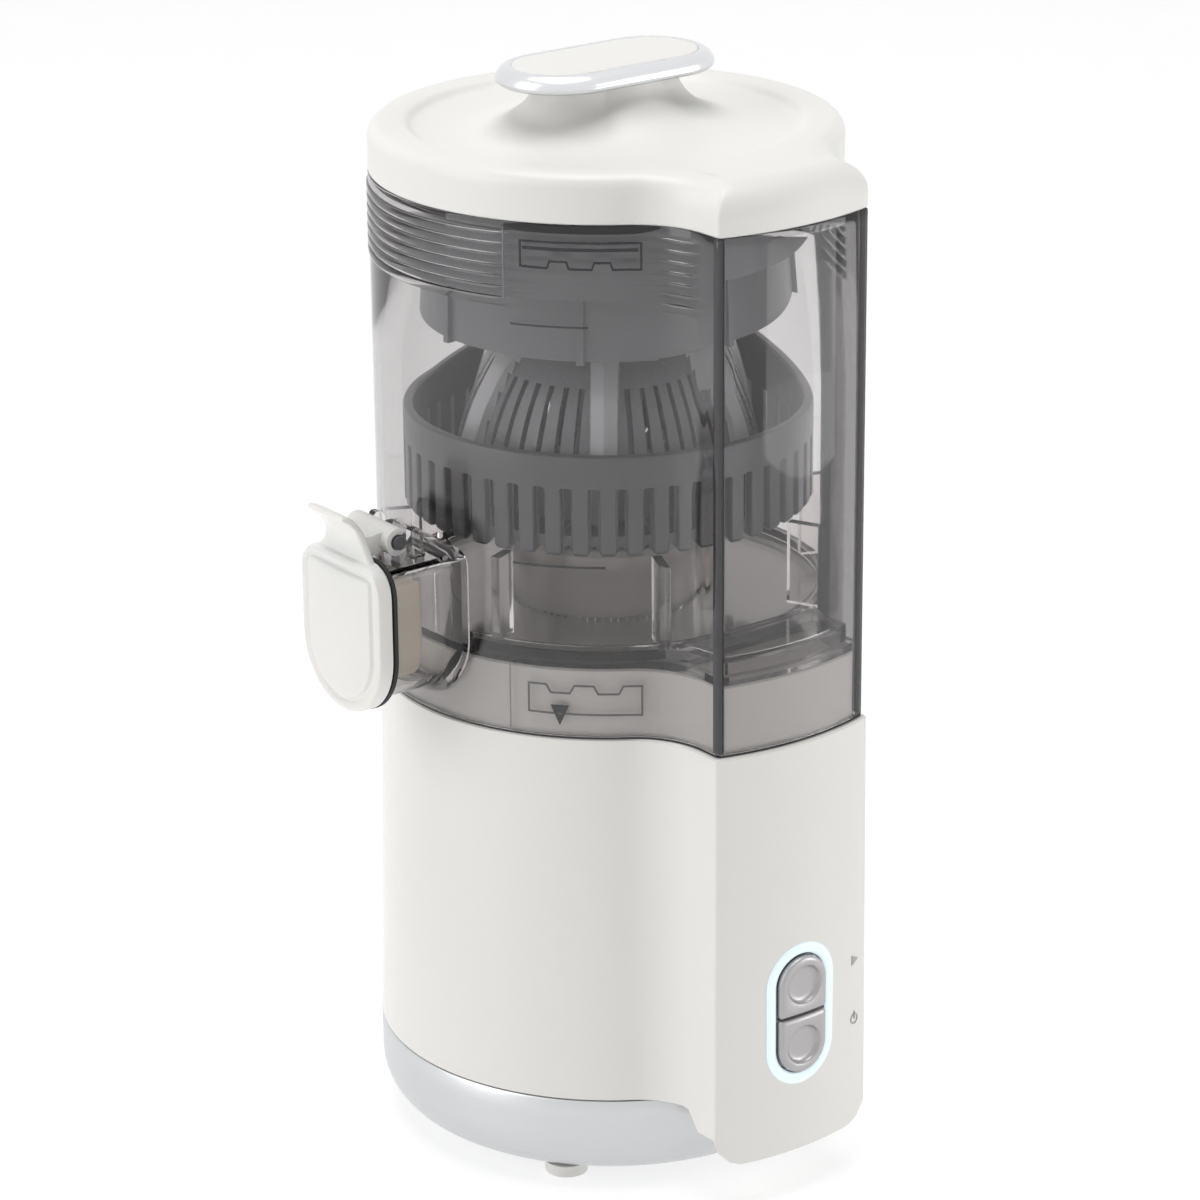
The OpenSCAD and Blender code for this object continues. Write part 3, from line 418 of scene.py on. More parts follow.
def housing_body():
    """Housing with the jug's platform and the turret on top, as one closed skin."""
    low = housing_edge()
    rows = [at(outline(1.5, 2.0), low), at(outline(-1.7, -0.6), low)]
    for t in np.linspace(0, 1, 14):
        z = low + 0.5 + (JUG_Z - 0.6 - low - 0.5) * t
        rows.append(at(outline(-2.4 * (1 - t) ** 1.3, -1.2 - 0.6 * (1 - t)), z))
    seat, shelf, turret_r, turret_z, bore = 2.9, 165.8, 28.8, 187.9, 7.2
    rows += [at(outline(0.5, -0.7), JUG_Z), at(outline(seat), JUG_Z), at(outline(seat), shelf - 0.6),
             at(outline(seat + 0.6), shelf)]
    inner = [(60.5, shelf), (31, shelf), (turret_r, shelf + 0.4), (turret_r, turret_z - 1.4),
             (turret_r - 1.4, turret_z), (bore, turret_z), (bore, 163.5), (58, 163.5), (62, 160),
             (62, SEAM_Z + 1.5)]
    rows += [at(circle(r), z) for r, z in inner]
    mesh = merge(loft(rows, ring=True), column_foot())
    return build("housing_body", *mesh, WHITE, "base", 36, ["housing_shell", "jug_platform", "shaft_turret"])


def base_pan():
    """Tray with a round lower edge, open below."""
    r, bottom, bend = 72.0, 3.5, (12.5, 14)
    prof = [(69.6, 29.8), (71.6, 29.8), (r, 29.3), (r, 24)]
    prof += [(r - bend[0] + bend[0] * math.cos(a), bottom + bend[1] - bend[1] * math.sin(a))
             for a in np.linspace(0, math.pi / 2, 12)]
    prof += [(47, bottom), (46.4, 3.9), (46.4, 5.4), (30, 5.4)]
    a = np.linspace(0, 2 * math.pi, 160, endpoint=False)
    rows = [np.column_stack([r * np.cos(a), r * np.sin(a), np.full(len(a), z)]) for r, z in prof]
    build("base_pan", *loft(rows), SILVER, "base", 40, ["base_tray"])


# ---------- jug ----------

PANEL_LEFT, PANEL_RIGHT = -61.8, -26    # azimuths of the smooth panel with the windows
SPOUT_HALF = 18                         # half width of the spout
SPOUT_END = -91


def spout_loop(inset=0.0, rc=3.0):
    """Section of the spout, as (y, z): flat top with rounded corners, round bottom."""
    h = SPOUT_HALF - inset
    top, mid = JUG_Z + 51.5 - inset, JUG_Z + 51.5 - 25.5
    rc = max(rc - inset, 0.6)
    pts = [(h - rc + rc * math.cos(a), top - rc + rc * math.sin(a)) for a in np.linspace(0, math.pi / 2, 7)]
    pts += [(-y, z) for y, z in pts[::-1]]
    pts += [(-h, z) for z in np.linspace(top - rc, mid, 6)[1:-1]]
    pts += [(h * math.cos(a), mid + h * math.sin(a)) for a in np.linspace(math.pi, 2 * math.pi, 33)]
    pts += [(h, z) for z in np.linspace(mid, top - rc, 6)[1:-1]]
    return np.array(pts)


def jug_rows():
    """Wall of the jug with the grip band's ribs, fainter on the panel."""
    depth, pitch, first = 0.48, 3.1, 3.2
    deg = np.degrees(AZ)
    on_panel = (deg > PANEL_LEFT) & (deg < PANEL_RIGHT)
    ribbed = np.where(ROUND > 0.12, 1.0, 0.0) * np.where(on_panel, 0.25, 1.0)
    steps = [(LID_Z - 0.5, 0.0)]
    for k in range(7):
        z = LID_Z - first - pitch * k
        steps += [(z, 0.0), (z - 0.2, 0.35), (z - 0.5, depth)]
        steps += [(z - 2.1, depth), (z - 2.4, 0.35), (z - 2.6, 0.0)]
    plain, wide = outline(0.0), outline(-1.0)
    rows = [at(outline(0.2), JUG_Z + 0.6), at(plain, JUG_Z + 0.8), at(plain, 200), at(plain, 255)]
    for z, out in steps[::-1]:
        rows.append(at(plain + (wide - plain) * (out * ribbed)[:, None], z))
    rows += [at(outline(0.3), LID_Z - 0.05), at(outline(WALL - 0.2), LID_Z - 0.05)]
    rows += [at(outline(WALL), z) for z in (LID_Z - 0.4, 250, 200, JUG_Z + 0.8)]
    return rows + [at(outline(WALL - 0.2), JUG_Z + 0.6)]


def jug_wall():
    """Smoked wall with its spout, which flares where it leaves the wall."""
    jug = build("jug_wall", *loft(jug_rows(), ring=True), SMOKE, None, 40)
    flare = -2.4
    tube = [across(-66, spout_loop(flare))]
    tube += [across(-69 - 5 * t, spout_loop(flare * (1 - t) ** 2.2)) for t in np.linspace(0, 1, 8)]
    tube += [across(SPOUT_END + 0.4, spout_loop(0)), across(SPOUT_END, spout_loop(0.4))]
    cut(jug, build("tube", *solid(tube), SMOKE, None, 40), "UNION", 40)
    hole = [across(x, spout_loop(2)) for x in (-60, SPOUT_END - 1)]
    cut(jug, build("hole", *solid(hole), SMOKE), "DIFFERENCE", 40)
    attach(jug, "jug")
    for n in ("jug_shell", "jug_spout", "grip_band"):
        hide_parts(n)


WALL_AZ = np.sort(AZ)
WALL_R = np.hypot(BASE[:, 0], BASE[:, 1])[np.argsort(AZ)]


def on_wall(az, z, d):
    """Point on the jug's outer wall; az in radians, d outwards."""
    r = np.interp(az, WALL_AZ, WALL_R, period=2 * math.pi) + d
    return (r * math.sin(az), -r * math.cos(az), z)


def trace(path, width, d0, d1, closed=False):
    """Thin strip along (azimuth in degrees, height) points of the wall, mitred at its bends."""
    pts = []
    n = len(path)
    for i in range(n if closed else n - 1):
        (a, z), (b, w) = path[i], path[(i + 1) % n]
        k = max(1, int(abs(b - a) / 1.5))
        pts += [(a + (b - a) * t, z + (w - z) * t) for t in np.linspace(0, 1, k, endpoint=False)]
    if not closed:
        pts.append(path[-1])
    q = np.array([(math.radians(a) * BODY_R, z) for a, z in pts])
    before, after = np.roll(q, 1, axis=0), np.roll(q, -1, axis=0)
    if not closed:
        before[0], after[-1] = q[0], q[-1]
    e0, e1 = q - before, after - q
    for e, other in ((e0, e1), (e1, e0)):
        flat = np.hypot(e[:, 0], e[:, 1]) < 1e-9
        e[flat] = other[flat]
    e0 /= np.hypot(e0[:, 0], e0[:, 1])[:, None]
    e1 /= np.hypot(e1[:, 0], e1[:, 1])[:, None]
    t = e0 + e1
    t /= np.hypot(t[:, 0], t[:, 1])[:, None]
    mitre = (width / 2 / np.maximum((t * e0).sum(1), 0.5))[:, None]
    offset = np.column_stack([-t[:, 1], t[:, 0]]) * mitre
    rows = []
    for p, m in zip(q, offset):
        corners = ((p - m, d0), (p - m, d1), (p + m, d1), (p + m, d0))
        rows.append(np.array([on_wall(u[0] / BODY_R, u[1], d) for u, d in corners]))
    return loft(rows, ring=closed, caps=(not closed, not closed))


def span(az0, az1, r0, r1, z0, z1):
    """Part of a ring between two azimuths in degrees."""
    section = ((r0, z0), (r1, z0), (r1, z1), (r0, z1))
    turns = np.radians(np.linspace(az0, az1, int(abs(az1 - az0) / 2.0) + 2))
    return solid([np.array([(r * math.sin(a), -r * math.cos(a), z) for r, z in section]) for a in turns])


def wall_shade_lines():
    """Painted shade: dark lines where light is lost in the smoked wall's edges and at its foot, and a grey
    see-through sheet that darkens its right side.
    """
    foot = ((0.1, 0.05), (0.1, 0.58), (2.2, 0.58), (2.2, 0.05))
    # Painted shadow: a near-black strip at the jug's foot, for the shadow gap at its seam.
    build("jug_foot_shade_line", *loft([at(outline(i), JUG_Z + z) for i, z in foot], ring=True), EDGE_SHADE, "jug", 40)
    # Painted shade: near-black bars inside the column's corners, where light is lost in the wall's edges.
    bars = []
    corner = slice(N_FACE, N_FACE + N_CORNER + 1)
    for side in (1, -1):
        outer, inner = outline(0.55)[corner] * [side, 1], outline(1.7)[corner] * [side, 1]
        loop = np.vstack([outer, inner[::-1]])
        bars.append(solid([at(loop, JUG_Z + 1.2), at(loop, LID_Z - 0.6)]))
    build("jug_corner_shade_lines", *merge(*bars), EDGE_SHADE, "jug", 40)
    # Painted shade: a grey see-through sheet inside the column's right side darkens it.
    right = slice(N_FACE + 2, N_FACE + N_CORNER + N_SIDE + N_HOLLOW - 2)
    loop = np.vstack([outline(WALL + 0.1)[right], outline(WALL + 0.4)[right][::-1]])
    build("column_side_shade", *solid([at(loop, JUG_Z + 1.2), at(loop, LID_Z - 1.0)]), SIDE_SHADE, "jug", 40)


def tray_seal():
    """Seal of the jug floor: black round the tray; where the column stands in front of it, a paler see-through
    grey, painted light for the reflection on the column's face.
    """
    r0, r1, front = 65.8, 67.0, 23
    low, high = TRAY_Z - 1.0, TRAY_Z + 2.3
    ring = merge(span(-75, -front, r0, r1, low, high), span(front, 255, r0, r1, low, high))
    build("seal_band", *ring, DARK, "jug", 40, ["floor_seal"])
    # Painted light: the seal's front stretch is paler than the rest.
    build("seal_front_painted_light", *span(-front, front, r0, r1, low, high - 0.5), SEAL_PAINTED_LIGHT, "jug", 40)


def window_step(left, right, a, b, z, height, flank):
    """Raised or sunk stretch of a window's edge, between shares a and b of its width."""
    width = right - left
    return [(left + width * a, z), (left + width * (a + flank), z + height),
            (left + width * (b - flank), z + height), (left + width * b, z)]


def wall_marks():
    """Latch windows moulded in the wall and edges of the panel, drawn as dark lines of painted shade, and plain
    level lines.
    """
    left, right = -57.6, -29.5
    top, bottom = LID_Z - 5.0, LID_Z - 12.6
    upper = [(left, bottom + 0.2), *window_step(left, right, 0.23, 0.41, bottom + 0.1, 2.0, 0.02),
             *window_step(left, right, 0.60, 0.77, bottom, 2.0, 0.02),
             (right, bottom), (right, top), (left, top)]
    bar = [(left + 0.6, top - 2.0), (right - 0.6, top - 2.0)]
    latch = merge(trace(upper, 0.55, 0.0, 0.3, True), trace(bar, 0.9, 0.0, 0.25))
    # Painted shade: the upper window's outline and bar in near-black, for the shade at its moulded edges.
    build("latch_window_top_shade", *latch, EDGE_SHADE, "jug", 40)

    left, right = -57.0, -29.8
    top, bottom = LID_Z - 136.5, LID_Z - 145.2
    lower = [(left, bottom), (right, bottom - 0.2), (right, top),
             *window_step(left, right, 0.58, 0.84, top, -2.4, 0.04)[::-1],
             *window_step(left, right, 0.16, 0.41, top, -2.4, 0.04)[::-1], (left, top)]
    # Painted shade: the lower window's outline in dark grey, for the shade at its moulded edges.
    build("latch_window_low_shade", *trace(lower, 0.5, 0.0, 0.28, True), MOULD_SHADE, "jug", 40)

    # Painted shade: grey strips standing for the panel's edge, a step in the smoked wall.
    below = [(PANEL_LEFT, JUG_Z + 1.0), (PANEL_LEFT, TRAY_Z - 1.5)]
    above = [(PANEL_LEFT, LID_Z - 22.5), (PANEL_LEFT, LID_Z - 1.5)]
    build("panel_edge_shade", *merge(trace(below, 0.3, 0.0, 0.22), trace(above, 0.3, 0.0, 0.4)), GREY_AND_EDGE_SHADE, "jug", 40)

    width = right - left
    arrow = [(left + width * 0.20, bottom + 2.5), (left + width * 0.36, bottom + 2.5),
             (left + width * 0.28, bottom - 3.7)]
    arrow = solid([np.array([on_wall(math.radians(a), z, d) for a, z in arrow]) for d in (0.0, 0.3)])
    high = trace([(-60.3, LID_Z - 29.4), (-41.7, LID_Z - 29.4)], 0.55, 0.0, 0.12)
    low = trace([(-60.6, LID_Z - 100.4), (-38.1, LID_Z - 100.4)], 0.7, 0.0, 0.12)
    build("level_lines", *merge(high, low, arrow), MARK, "jug", 40)


# ---------- spout flap ----------

PIN_X, PIN_Z = -84, 202.3


def hinge_lugs():
    """Lugs of the jug beside the hinge pin."""
    prof = [(-79.3, 195.6), (-79.3, 204.6), (-78.7, 205.3), (-77.2, 205.3), (-75.8, 204.0), (-74.6, 195.6)]
    lugs = merge(prism(prof, -10.75, -8.0), prism(prof, 8.0, 10.75))
    build("hinge_lugs", *lugs, SMOKE, "jug", 30)


def flap_tab():
    """Finger tab: grows out of the plate's top edge and curls outwards."""
    # Place along X, height, half width and thickness
    spine = np.array([
        (-95.0, 190.5, 17.8, 4.6), (-95.0, 194.0, 17.6, 4.4), (-94.8, 196.6, 15.2, 4.0),
        (-94.4, 198.8, 12.4, 3.6), (-94.2, 201.2, 10.4, 3.3), (-94.5, 203.8, 9.4, 3.1),
        (-95.4, 206.4, 9.0, 3.0), (-96.9, 208.8, 9.0, 2.8), (-98.8, 210.7, 9.3, 2.6),
        (-100.6, 211.9, 9.4, 2.3), (-101.6, 212.4, 8.8, 1.8), (-102.0, 212.6, 7.6, 1.0)])
    rows = []
    for i, (x, z, half, thick) in enumerate(spine):
        dx, dz = (spine[min(i + 1, len(spine) - 1)] - spine[max(i - 1, 0)])[:2]
        length = math.hypot(dx, dz)
        nx, nz = dz / length, -dx / length
        loop = []
        for c in np.linspace(0, 2 * math.pi, 40, endpoint=False):
            u = math.copysign(abs(math.cos(c)) ** 0.3, math.cos(c)) * half
            w = math.copysign(abs(math.sin(c)) ** 0.6, math.sin(c)) * thick / 2
            loop.append((x + nx * w, u, z + nz * w))
        rows.append(np.array(loop))
    return solid(rows)


def flap_hook():
    """Hook round the pin, open on the jug's side, and its arm."""
    def arc(r, start, end, n):
        turns = np.linspace(math.radians(start), math.radians(end), n)
        return [(PIN_X + r * math.cos(a), PIN_Z + r * math.sin(a)) for a in turns]

    hook = arc(4.1, 48, 318, 36) + arc(2.35, 312, 54, 30)
    arm = [(-87.0, 205.2), (-91.0, 204.6), (-95.0, 205.2), (-95.4, 199.5), (-92.0, 198.4), (-87.2, 199.6)]
    return [prism(p, -h, -h + 0.01, h - 0.01, h) for p, h in ((hook, 10.6), (arm, 7.4))]


def flap():
    # Place along X, inset of the spout's outline, and corner radius: a raised rim round a sunk panel
    plate = ((-92.6, -1.2, 6), (-93.2, -2.2, 7), (-96.2, -2.2, 7), (-97.3, -1.7, 6.6), (-97.7, -0.8, 6),
             (-97.6, 0.6, 5), (-97.1, 1.3, 4.6), (-97.1, 2.0, 4.2), (-98.0, 2.6, 4), (-98.3, 3.6, 3.6))
    plate = solid([across(x, spout_loop(i, rc)) for x, i, rc in plate])
    build("flap_plate", *merge(plate, flap_tab(), *flap_hook()), FROST, "flap", 35, ["spout_flap"])
    seal = ((-92.55, -2.3, 7), (-91.3, -2.3, 7), (-91.3, 1.5, 3), (-92.55, 1.5, 3))
    seal = loft([across(x, spout_loop(i, rc)) for x, i, rc in seal], ring=True)
    build("flap_seal_rim", *seal, DARK, "flap", 40, ["flap_seal"])


def plug_loop(inset):
    p = spout_loop(3.5 + inset)
    return np.column_stack([p[:, 0], np.clip(p[:, 1], JUG_Z + 17 + inset, JUG_Z + 45.5 - inset)])


def plug_block():
    rows = [across(x, plug_loop(i)) for x, i in ((-92.4, 0), (-80.6, 0), (-79.6, 0.3), (-79.0, 1.0))]
    build("plug_block", *solid(rows), CREAM, "flap", 35, ["flap_plug"])


# ---------- strainer basket ----------

BASKET_Z = 198.0
BASKET_R = 61
RIB_COUNT = 48
GROOVE_FLOOR_R, GROOVE_HALF = 58.6, 1.6


def ribbed_loop(half_gap, r_out, r_low, edge=0.35):
    """Outer outline of the ribbed wall; half_gap is half the groove's width."""
    pitch = 2 * math.pi / RIB_COUNT
    foot = pitch / 2 - half_gap / r_out
    ease = min(0.006, foot * 0.3)
    floor = 0.0007
    steps = [(-foot - floor, r_low), (-foot, r_low), (-foot, r_out - edge), (ease - foot, r_out), (0, r_out)]
    steps += [(foot - ease, r_out), (foot, r_out - edge), (foot, r_low), (foot + floor, r_low)]
    steps.append((pitch / 2, r_low))
    return np.array([(r * math.sin(a + i * pitch), -r * math.cos(a + i * pitch))
                     for i in range(RIB_COUNT) for a, r in steps])


IN_GROOVE = np.tile([1, 0, 0, 0, 0, 0, 0, 0, 1, 1], RIB_COUNT)


def rib_foot(z):
    """Ribs reach lower than the grooves between them."""
    return np.where(IN_GROOVE, np.maximum(z, BASKET_Z + 2.4), z)


def basket_wall():
    """Ribbed wall with arched grooves, a plain rim, and a slit in each groove."""
    arch, top = 1.2, BASKET_Z + 20.5
    rows = [at(ribbed_loop(GROOVE_HALF + 0.4, BASKET_R - 0.8, GROOVE_FLOOR_R), rib_foot(BASKET_Z)),
            at(ribbed_loop(GROOVE_HALF + 0.1, BASKET_R, GROOVE_FLOOR_R), rib_foot(BASKET_Z + 1.0)),
            at(ribbed_loop(GROOVE_HALF, BASKET_R, GROOVE_FLOOR_R), rib_foot(BASKET_Z + 3)),
            at(ribbed_loop(GROOVE_HALF, BASKET_R, GROOVE_FLOOR_R), top - arch)]
    for t in (0.4, 0.7, 0.88, 0.97, 0.995):
        half_gap = GROOVE_HALF * (1 - t ** 3) ** (1 / 3)
        rows.append(at(ribbed_loop(half_gap, BASKET_R, GROOVE_FLOOR_R), top - arch * (1 - t)))
    rim = ((BASKET_R, 20.52), (BASKET_R, 21.1), (BASKET_R, 28.9), (60.7, 29.7), (60.2, 30), (58.4, 30),
           (57.9, 29.4), (57.8, 10), (57.8, 2.4))
    rows += [at(ribbed_loop(0.15, r, r, 0), BASKET_Z + z) for r, z in rim]
    basket = build("basket_wall", *loft(rows, ring=True), SIEVE, None, 35)
    slit = block(-0.95, -63, BASKET_Z + 5.5, 0.95, -56, BASKET_Z + 19.8)
    slits = [turned(slit, (i + 0.5) * 2 * math.pi / RIB_COUNT) for i in range(RIB_COUNT)]
    cut(basket, build("slits", *merge(*slits), SIEVE), sharp=35)
    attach(basket, "basket")
    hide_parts("strainer_basket")


def basket_floor():
    """Flat ring, with bars across the open part between two rims."""
    z0, z1 = BASKET_Z + 2.6, BASKET_Z + 4.6
    open_in, open_out, bars, half_gap = 22, 54, 24, 1.0
    parts = []
    for ra, rb in ((14, open_in), (open_out, 58.2)):
        section = ((ra, z0), (rb, z0), (rb, z1), (ra, z1))
        parts.append(loft([at(circle(r, AZ_EVEN), z) for r, z in section], ring=True))
    pitch = 2 * math.pi / bars
    for i in range(bars):
        start, end = (i + 0.5) * pitch, (i + 1.5) * pitch
        quad = []
        corners = ((open_in, start, 1), (open_out, start, 1), (open_out, end, -1), (open_in, end, -1))
        for r, a, side in corners:
            b = a + side * math.asin(half_gap / r)
            quad.append((r * math.sin(b), -r * math.cos(b)))
        parts.append(solid([np.array([(x, y, z) for x, y in quad]) for z in (z0, z1)]))
    build("basket_floor", *merge(*parts), SIEVE, "basket", 30)


# ---------- reamer ----------

REAMER_Z, REAMER_H, REAMER_R = 203.8, 64.0, 51.0
FIN_DEPTH, FIN_HALF = 5.0, 4.7
FIN_COUNT, SLOTS_BETWEEN = 6, 6
FIN_PITCH = 2 * math.pi / FIN_COUNT
FIN_AZ = math.radians(-39)
REAMER_AZ = np.linspace(0, 2 * math.pi, 720, endpoint=False)


def ogive_r(z, r, h):
    """Radius of a pointed dome of base radius r and height h."""
    k = (h * h - r * r) / (2 * r)
    return math.sqrt(max((r + k) ** 2 - z * z, 0)) - k


def off_fin(az):
    """Azimuth from the nearest fin's ridge."""
    return (az - FIN_AZ + FIN_PITCH / 2) % FIN_PITCH - FIN_PITCH / 2


def reamer_loop(t):
    """Outline at a share t of the height: dome, with ridged fins standing out of it."""
    z_fin, z_dome = t * REAMER_H, t * (REAMER_H - FIN_DEPTH)
    r_dome = ogive_r(z_dome, REAMER_R - FIN_DEPTH, REAMER_H - FIN_DEPTH)
    r_fin = ogive_r(min(z_fin, REAMER_H - 1e-4), REAMER_R, REAMER_H)
    d = np.abs(off_fin(REAMER_AZ)) * max(r_fin, 0.5)
    flank = np.clip((FIN_HALF - d) / 0.7, 0, 1)
    flank = flank * flank * (3 - 2 * flank)
    share = np.where(d > FIN_HALF, 0, flank * 0.55 + np.clip(1 - d / 4.0, 0, 1) * 0.45)
    r = r_dome + (r_fin - r_dome) * share
    return at(circle(1.0, REAMER_AZ) * r[:, None], REAMER_Z + z_fin * share + z_dome * (1 - share))


def is_fin(poly):
    """Whether a face lies outside the dome on a fin."""
    c = poly.center / MM
    r, z = math.hypot(c.x, c.y), max(c.z - REAMER_Z, 0)
    reach = REAMER_H - FIN_DEPTH + 0.6 if c.z - REAMER_Z < REAMER_H - FIN_DEPTH else REAMER_H
    near = abs(off_fin(math.atan2(c.x, -c.y))) * r < FIN_HALF + 0.05
    outward = poly.normal.x * c.x + poly.normal.y * c.y > 0
    return near and outward and r > ogive_r(min(z, REAMER_H - 0.1), REAMER_R - FIN_DEPTH + 0.6, reach)


def reamer_cone():
    """Slotted shell with fins; the fins' outer faces take a paler grey than the dome, a painted highlight for
    the light they catch.
    """
    shares = [0, 0.02] + list(np.linspace(0.05, 0.93, 34)) + [0.95, 0.97, 0.985, 0.995]
    rows = [reamer_loop(t) for t in shares]
    inner_h, inner_r = REAMER_H - FIN_DEPTH - 3, REAMER_R - FIN_DEPTH - 2.4
    for t in np.linspace(0.96, 0, 20):
        r = max(ogive_r(t * inner_h, inner_r, inner_h), 1.0)
        rows.append(at(circle(r, REAMER_AZ), REAMER_Z + t * inner_h))
    reamer = build("reamer_cone", *loft(rows, ring=True), DOME, None, 24)
    slot = block(-0.85, -60, REAMER_Z + 4, 0.85, -18, REAMER_Z + 36)
    slots = []
    for k in range(FIN_COUNT):
        for s in range(SLOTS_BETWEEN):
            middle = FIN_AZ + FIN_PITCH / 2 + k * FIN_PITCH
            slots.append(turned(slot, middle + (s - (SLOTS_BETWEEN - 1) / 2) * math.radians(7.7)))
    cut(reamer, build("slots", *merge(*slots), DOME), sharp=24)
    # Painted highlight: the fins' outer faces get the paler grey.
    reamer.data.materials.append(PALE_GREY_AND_FIN_HIGHLIGHT)
    fin_highlight_slot = len(reamer.data.materials) - 1
    for poly in reamer.data.polygons:
        if is_fin(poly):
            poly.material_index = fin_highlight_slot
    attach(reamer, "squeezer")
    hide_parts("reamer")


def reamer_socket():
    section = [(8.06, 192.2), (10.6, 192.2), (10.6, 255), (4.8, 255), (4.8, 198), (8.06, 198)]
    mesh = loft([at(circle(r, AZ_EVEN), z) for r, z in section], ring=True)
    build("reamer_socket", *mesh, PALE_GREY_AND_FIN_HIGHLIGHT, "squeezer", 30, ["drive_socket"])


# ---------- light ring and keys ----------

RING_W, RING_H = 25, 45
RING_Z = SEAM_Z + 29.2
KEY_V = 9.7             # keys' centres above and below the ring's


def on_face(u, v, d):
    """Points of the column's face: u to the right, v up from the ring's centre, d outwards."""
    r = FACE_R + d
    a = np.asarray(u) / FACE_R
    return np.column_stack([r * np.sin(a), -r * np.cos(a), RING_Z + np.asarray(v)])


def ring_rows(profile):
    """Upright slot outlines on the face, from pairs of inset and height above it."""
    rows = []
    for inset, d in profile:
        s = stadium(RING_H - 2 * inset, RING_W - 2 * inset)
        rows.append(on_face(s[:, 1], s[:, 0], d))
    return rows


def light_ring(housing):
    band = [(0, -1.0), (0, 0.5), (0.25, 0.8), (0.8, 1.0), (2.2, 1.0), (3.0, 0.6), (3.35, 0), (3.4, -2.5)]
    build("ring_light", *loft(ring_rows(band), ring=True), GLOW, "base", 40, ["light_ring"])
    pocket = ring_rows([(3.3, -7.2), (3.3, 2.5)])
    cut(housing, build("pocket", *solid(pocket), WHITE), sharp=36)
    # Painted shade: a near-black ring in the gap round the light ring.
    gap = ring_rows([(3.42, -0.4), (3.42, 0.2), (3.7, 0.2), (3.7, -0.4)])
    build("key_gap_shade", *loft(gap, ring=True), EDGE_SHADE, "base", 40)


def stamp(pts, height=0.62):
    """Flat sign that stands a little out of the face."""
    p = np.array(pts, float)
    return solid([on_face(p[:, 0], p[:, 1], d) for d in (0.2, height)])


def key_signs():
    """Plain signs by the keys: a triangle, and a ring with a bar."""
    u, half_bar = 23, 0.2
    turn = np.linspace(0, 2 * math.pi, 40, endpoint=False)
    section = ((1.75, 0.2), (1.75, 0.66), (1.35, 0.66), (1.35, 0.2))
    ring = loft([on_face(u + r * np.cos(turn), r * np.sin(turn) - KEY_V, d) for r, d in section], ring=True)
    triangle = stamp([(u - 1.4, KEY_V - 1.6), (u - 1.4, KEY_V + 1.6), (u + 1.5, KEY_V)])
    bar = stamp([(u - half_bar, -KEY_V), (u + half_bar, -KEY_V), (u + half_bar, 2.4 - KEY_V),
                 (u - half_bar, 2.4 - KEY_V)], 0.74)
    build("key_signs", *merge(triangle, ring, bar), ICON, "base", 30)


def key(side):
    """One half of the slot, with a finger dimple; side is 1 for the upper key and -1 for the lower."""
    half, high, gap = 8.55, 18.55, 0.4
    centre = side * KEY_V
    turn = np.linspace(0, 2 * math.pi, 96, endpoint=False)

    def inside(x, y, inset):
        y = y * side
        in_round = y < high - half or math.hypot(x, y - (high - half)) < half - inset
        return y > gap + inset and abs(x) < half - inset and in_round

    def rim(inset):
        """Key's outline, found along rays from its centre by halving."""
        pts = []
        for a in turn:
            dx, dy = math.cos(a), math.sin(a)
            near, far = 0.0, 40.0
            for _ in range(30):
                mid = (near + far) / 2
                if inside(mid * dx, centre + mid * dy, inset):
                    near = mid
                else:
                    far = mid
            pts.append((near * dx, centre + near * dy))
        return np.array(pts)

    def dimple(r):
        return np.column_stack([r * np.cos(turn), centre + r * np.sin(turn)])

    edge = rim(0)
    rows = [(edge, -5.0), (edge, 1.2), (rim(0.25), 1.8), (rim(0.9), 2.15), (rim(1.4), 2.2)]
    rows += [(dimple(r), d) for r, d in ((6.35, 2.2), (6.15, 2.1), (5.85, 1.6), (5.5, 0.95), (5.0, 0.62),
                                         (4.0, 0.5), (2.2, 0.45), (0.3, 0.45))]
    return solid([on_face(p[:, 0], p[:, 1], d) for p, d in rows])


# ---------- the juicer ----------

lid_body()
knob()
housing = housing_body()
base_pan()
jug_wall()
wall_shade_lines()
tray_seal()
wall_marks()
hinge_lugs()
flap()
plug_block()
basket_wall()
basket_floor()
reamer_cone()
reamer_socket()
light_ring(housing)
key_signs()
build("key_start", *key(1), KEY, "start_key", 40, ["start_button"])
build("key_power", *key(-1), KEY, "power_key", 40, ["power_button"])


# ---------- stage, lights and camera ----------

def stage_floor():
    """Pale floor that glows a little, so that it renders white and keeps the shadow."""
    half, thick = 3000, 20
    mat = plastic("floor", (0.45, 0.45, 0.45), (0.5, 0.6), 40, 0.0)
    shader = mat.node_tree.nodes["Principled BSDF"]
    shader.inputs["Emission Color"].default_value = (1, 1, 1, 1)
    shader.inputs["Emission Strength"].default_value = 0.66
    floor = build("floor", *block(-half, -half, -thick, half, half, 0), mat)


def surroundings():
    """White to the eye, in mirrors and through glass, and dim as a light."""
    world = bpy.data.worlds.new("world")
    bpy.context.scene.world = world
    world.use_nodes = True
    nt = world.node_tree
    dim = nt.nodes["Background"]
    white = nt.nodes.new("ShaderNodeBackground")
    for node, strength in ((dim, 0.13), (white, 1.0)):
        node.inputs["Color"].default_value = (1, 1, 1, 1)
        node.inputs["Strength"].default_value = strength
    path = nt.nodes.new("ShaderNodeLightPath")
    seen = path.outputs["Is Camera Ray"]
    for ray in ("Is Transmission Ray", "Is Glossy Ray"):
        either = nt.nodes.new("ShaderNodeMath")
        either.operation = "MAXIMUM"
        nt.links.new(seen, either.inputs[0])
        nt.links.new(path.outputs[ray], either.inputs[1])
        seen = either.outputs[0]
    mix = nt.nodes.new("ShaderNodeMixShader")
    nt.links.new(seen, mix.inputs["Fac"])
    nt.links.new(dim.outputs[0], mix.inputs[1])
    nt.links.new(white.outputs[0], mix.inputs[2])
    nt.links.new(mix.outputs[0], nt.nodes["World Output"].inputs["Surface"])


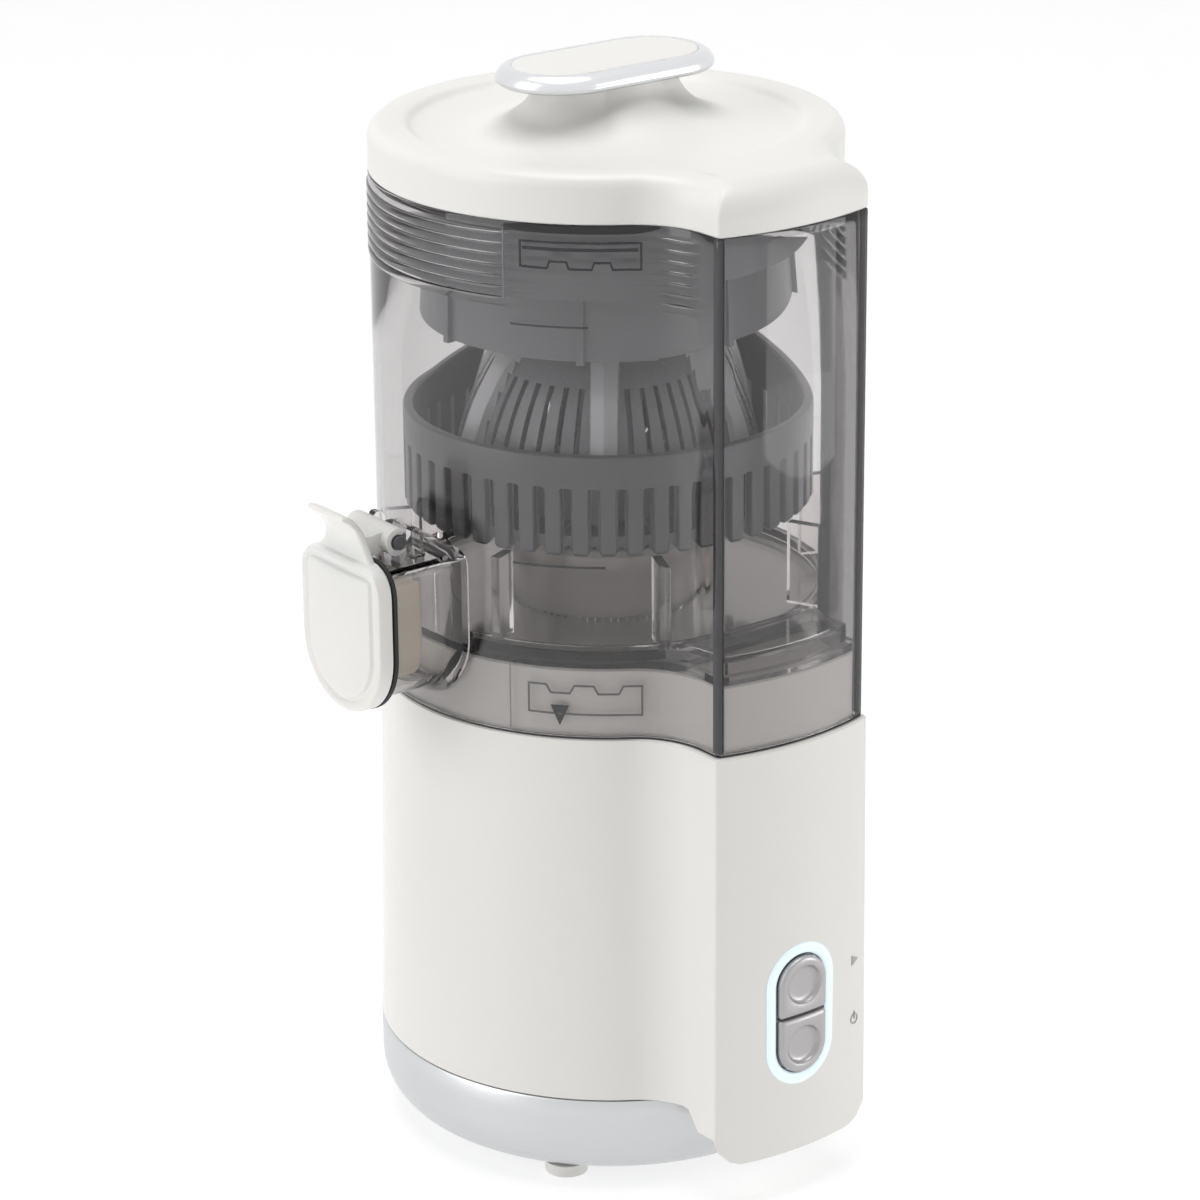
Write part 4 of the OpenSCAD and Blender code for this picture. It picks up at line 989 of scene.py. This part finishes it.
def area(name, place, aim, size, power):
    """Soft light; size is one side in metres, or two."""
    light = bpy.data.lights.new(name, "AREA")
    light.energy = power
    light.size = size[0]
    if len(size) > 1:
        light.shape = "RECTANGLE"
        light.size_y = size[1]
    o = bpy.data.objects.new(name, light)
    o.location = place
    o.rotation_euler = (Vector(aim) - Vector(place)).to_track_quat("-Z", "Y").to_euler()
    bpy.context.scene.collection.objects.link(o)


def camera():
    """Camera solved from the photo, straight ahead of the object, then turned about its upright axis."""
    photo_px, focal_px, sensor = 1200, 4291, 36.0
    turn = math.radians(37.26)
    pitch, yaw, roll = math.radians(20.21), math.radians(-0.138), math.radians(-0.509)
    distance, height = 1.2167, (LID_Z + 312.3) * MM

    data = bpy.data.cameras.new("camera")
    cam = bpy.data.objects.new("camera", data)
    bpy.context.scene.collection.objects.link(cam)
    data.sensor_width = sensor
    data.lens = sensor * focal_px / photo_px
    data.clip_start = 0.05
    data.clip_end = 20

    def turned_back(v):
        c, s = math.cos(turn), math.sin(turn)
        return Vector((v[0] * c + v[1] * s, -v[0] * s + v[1] * c, v[2]))

    forward = Vector((math.sin(yaw) * math.cos(pitch), math.cos(yaw) * math.cos(pitch), -math.sin(pitch)))
    level = Vector((math.cos(yaw), -math.sin(yaw), 0))
    upright = level.cross(forward)
    right = math.cos(roll) * level + math.sin(roll) * upright
    up = math.cos(roll) * upright - math.sin(roll) * level
    place = turned_back((0, -distance, 0)) + Vector((0, 0, height))
    pose = Matrix.Identity(4)
    for column, axis in enumerate((turned_back(right), turned_back(up), -turned_back(forward), place)):
        for row in range(3):
            pose[row][column] = axis[row]
    cam.matrix_world = pose
    bpy.context.scene.camera = cam


stage_floor()
surroundings()
area("key", (-1.45, 0.3, 0.8), (0, 0, 0.18), (0.9, 1.4), 9.5)
area("fill", (1.15, -1.1, 0.5), (0, 0, 0.15), (0.6, 1.0), 5)
area("card", (0.44, -0.62, 0.1), (0, -0.08, 0.24), (0.42, 0.3), 0.6)
area("top", (0, 0.1, 2.5), (0, 0, 0.3), (1.7,), 38)
camera()
bpy.context.scene.view_settings.view_transform = "Standard"
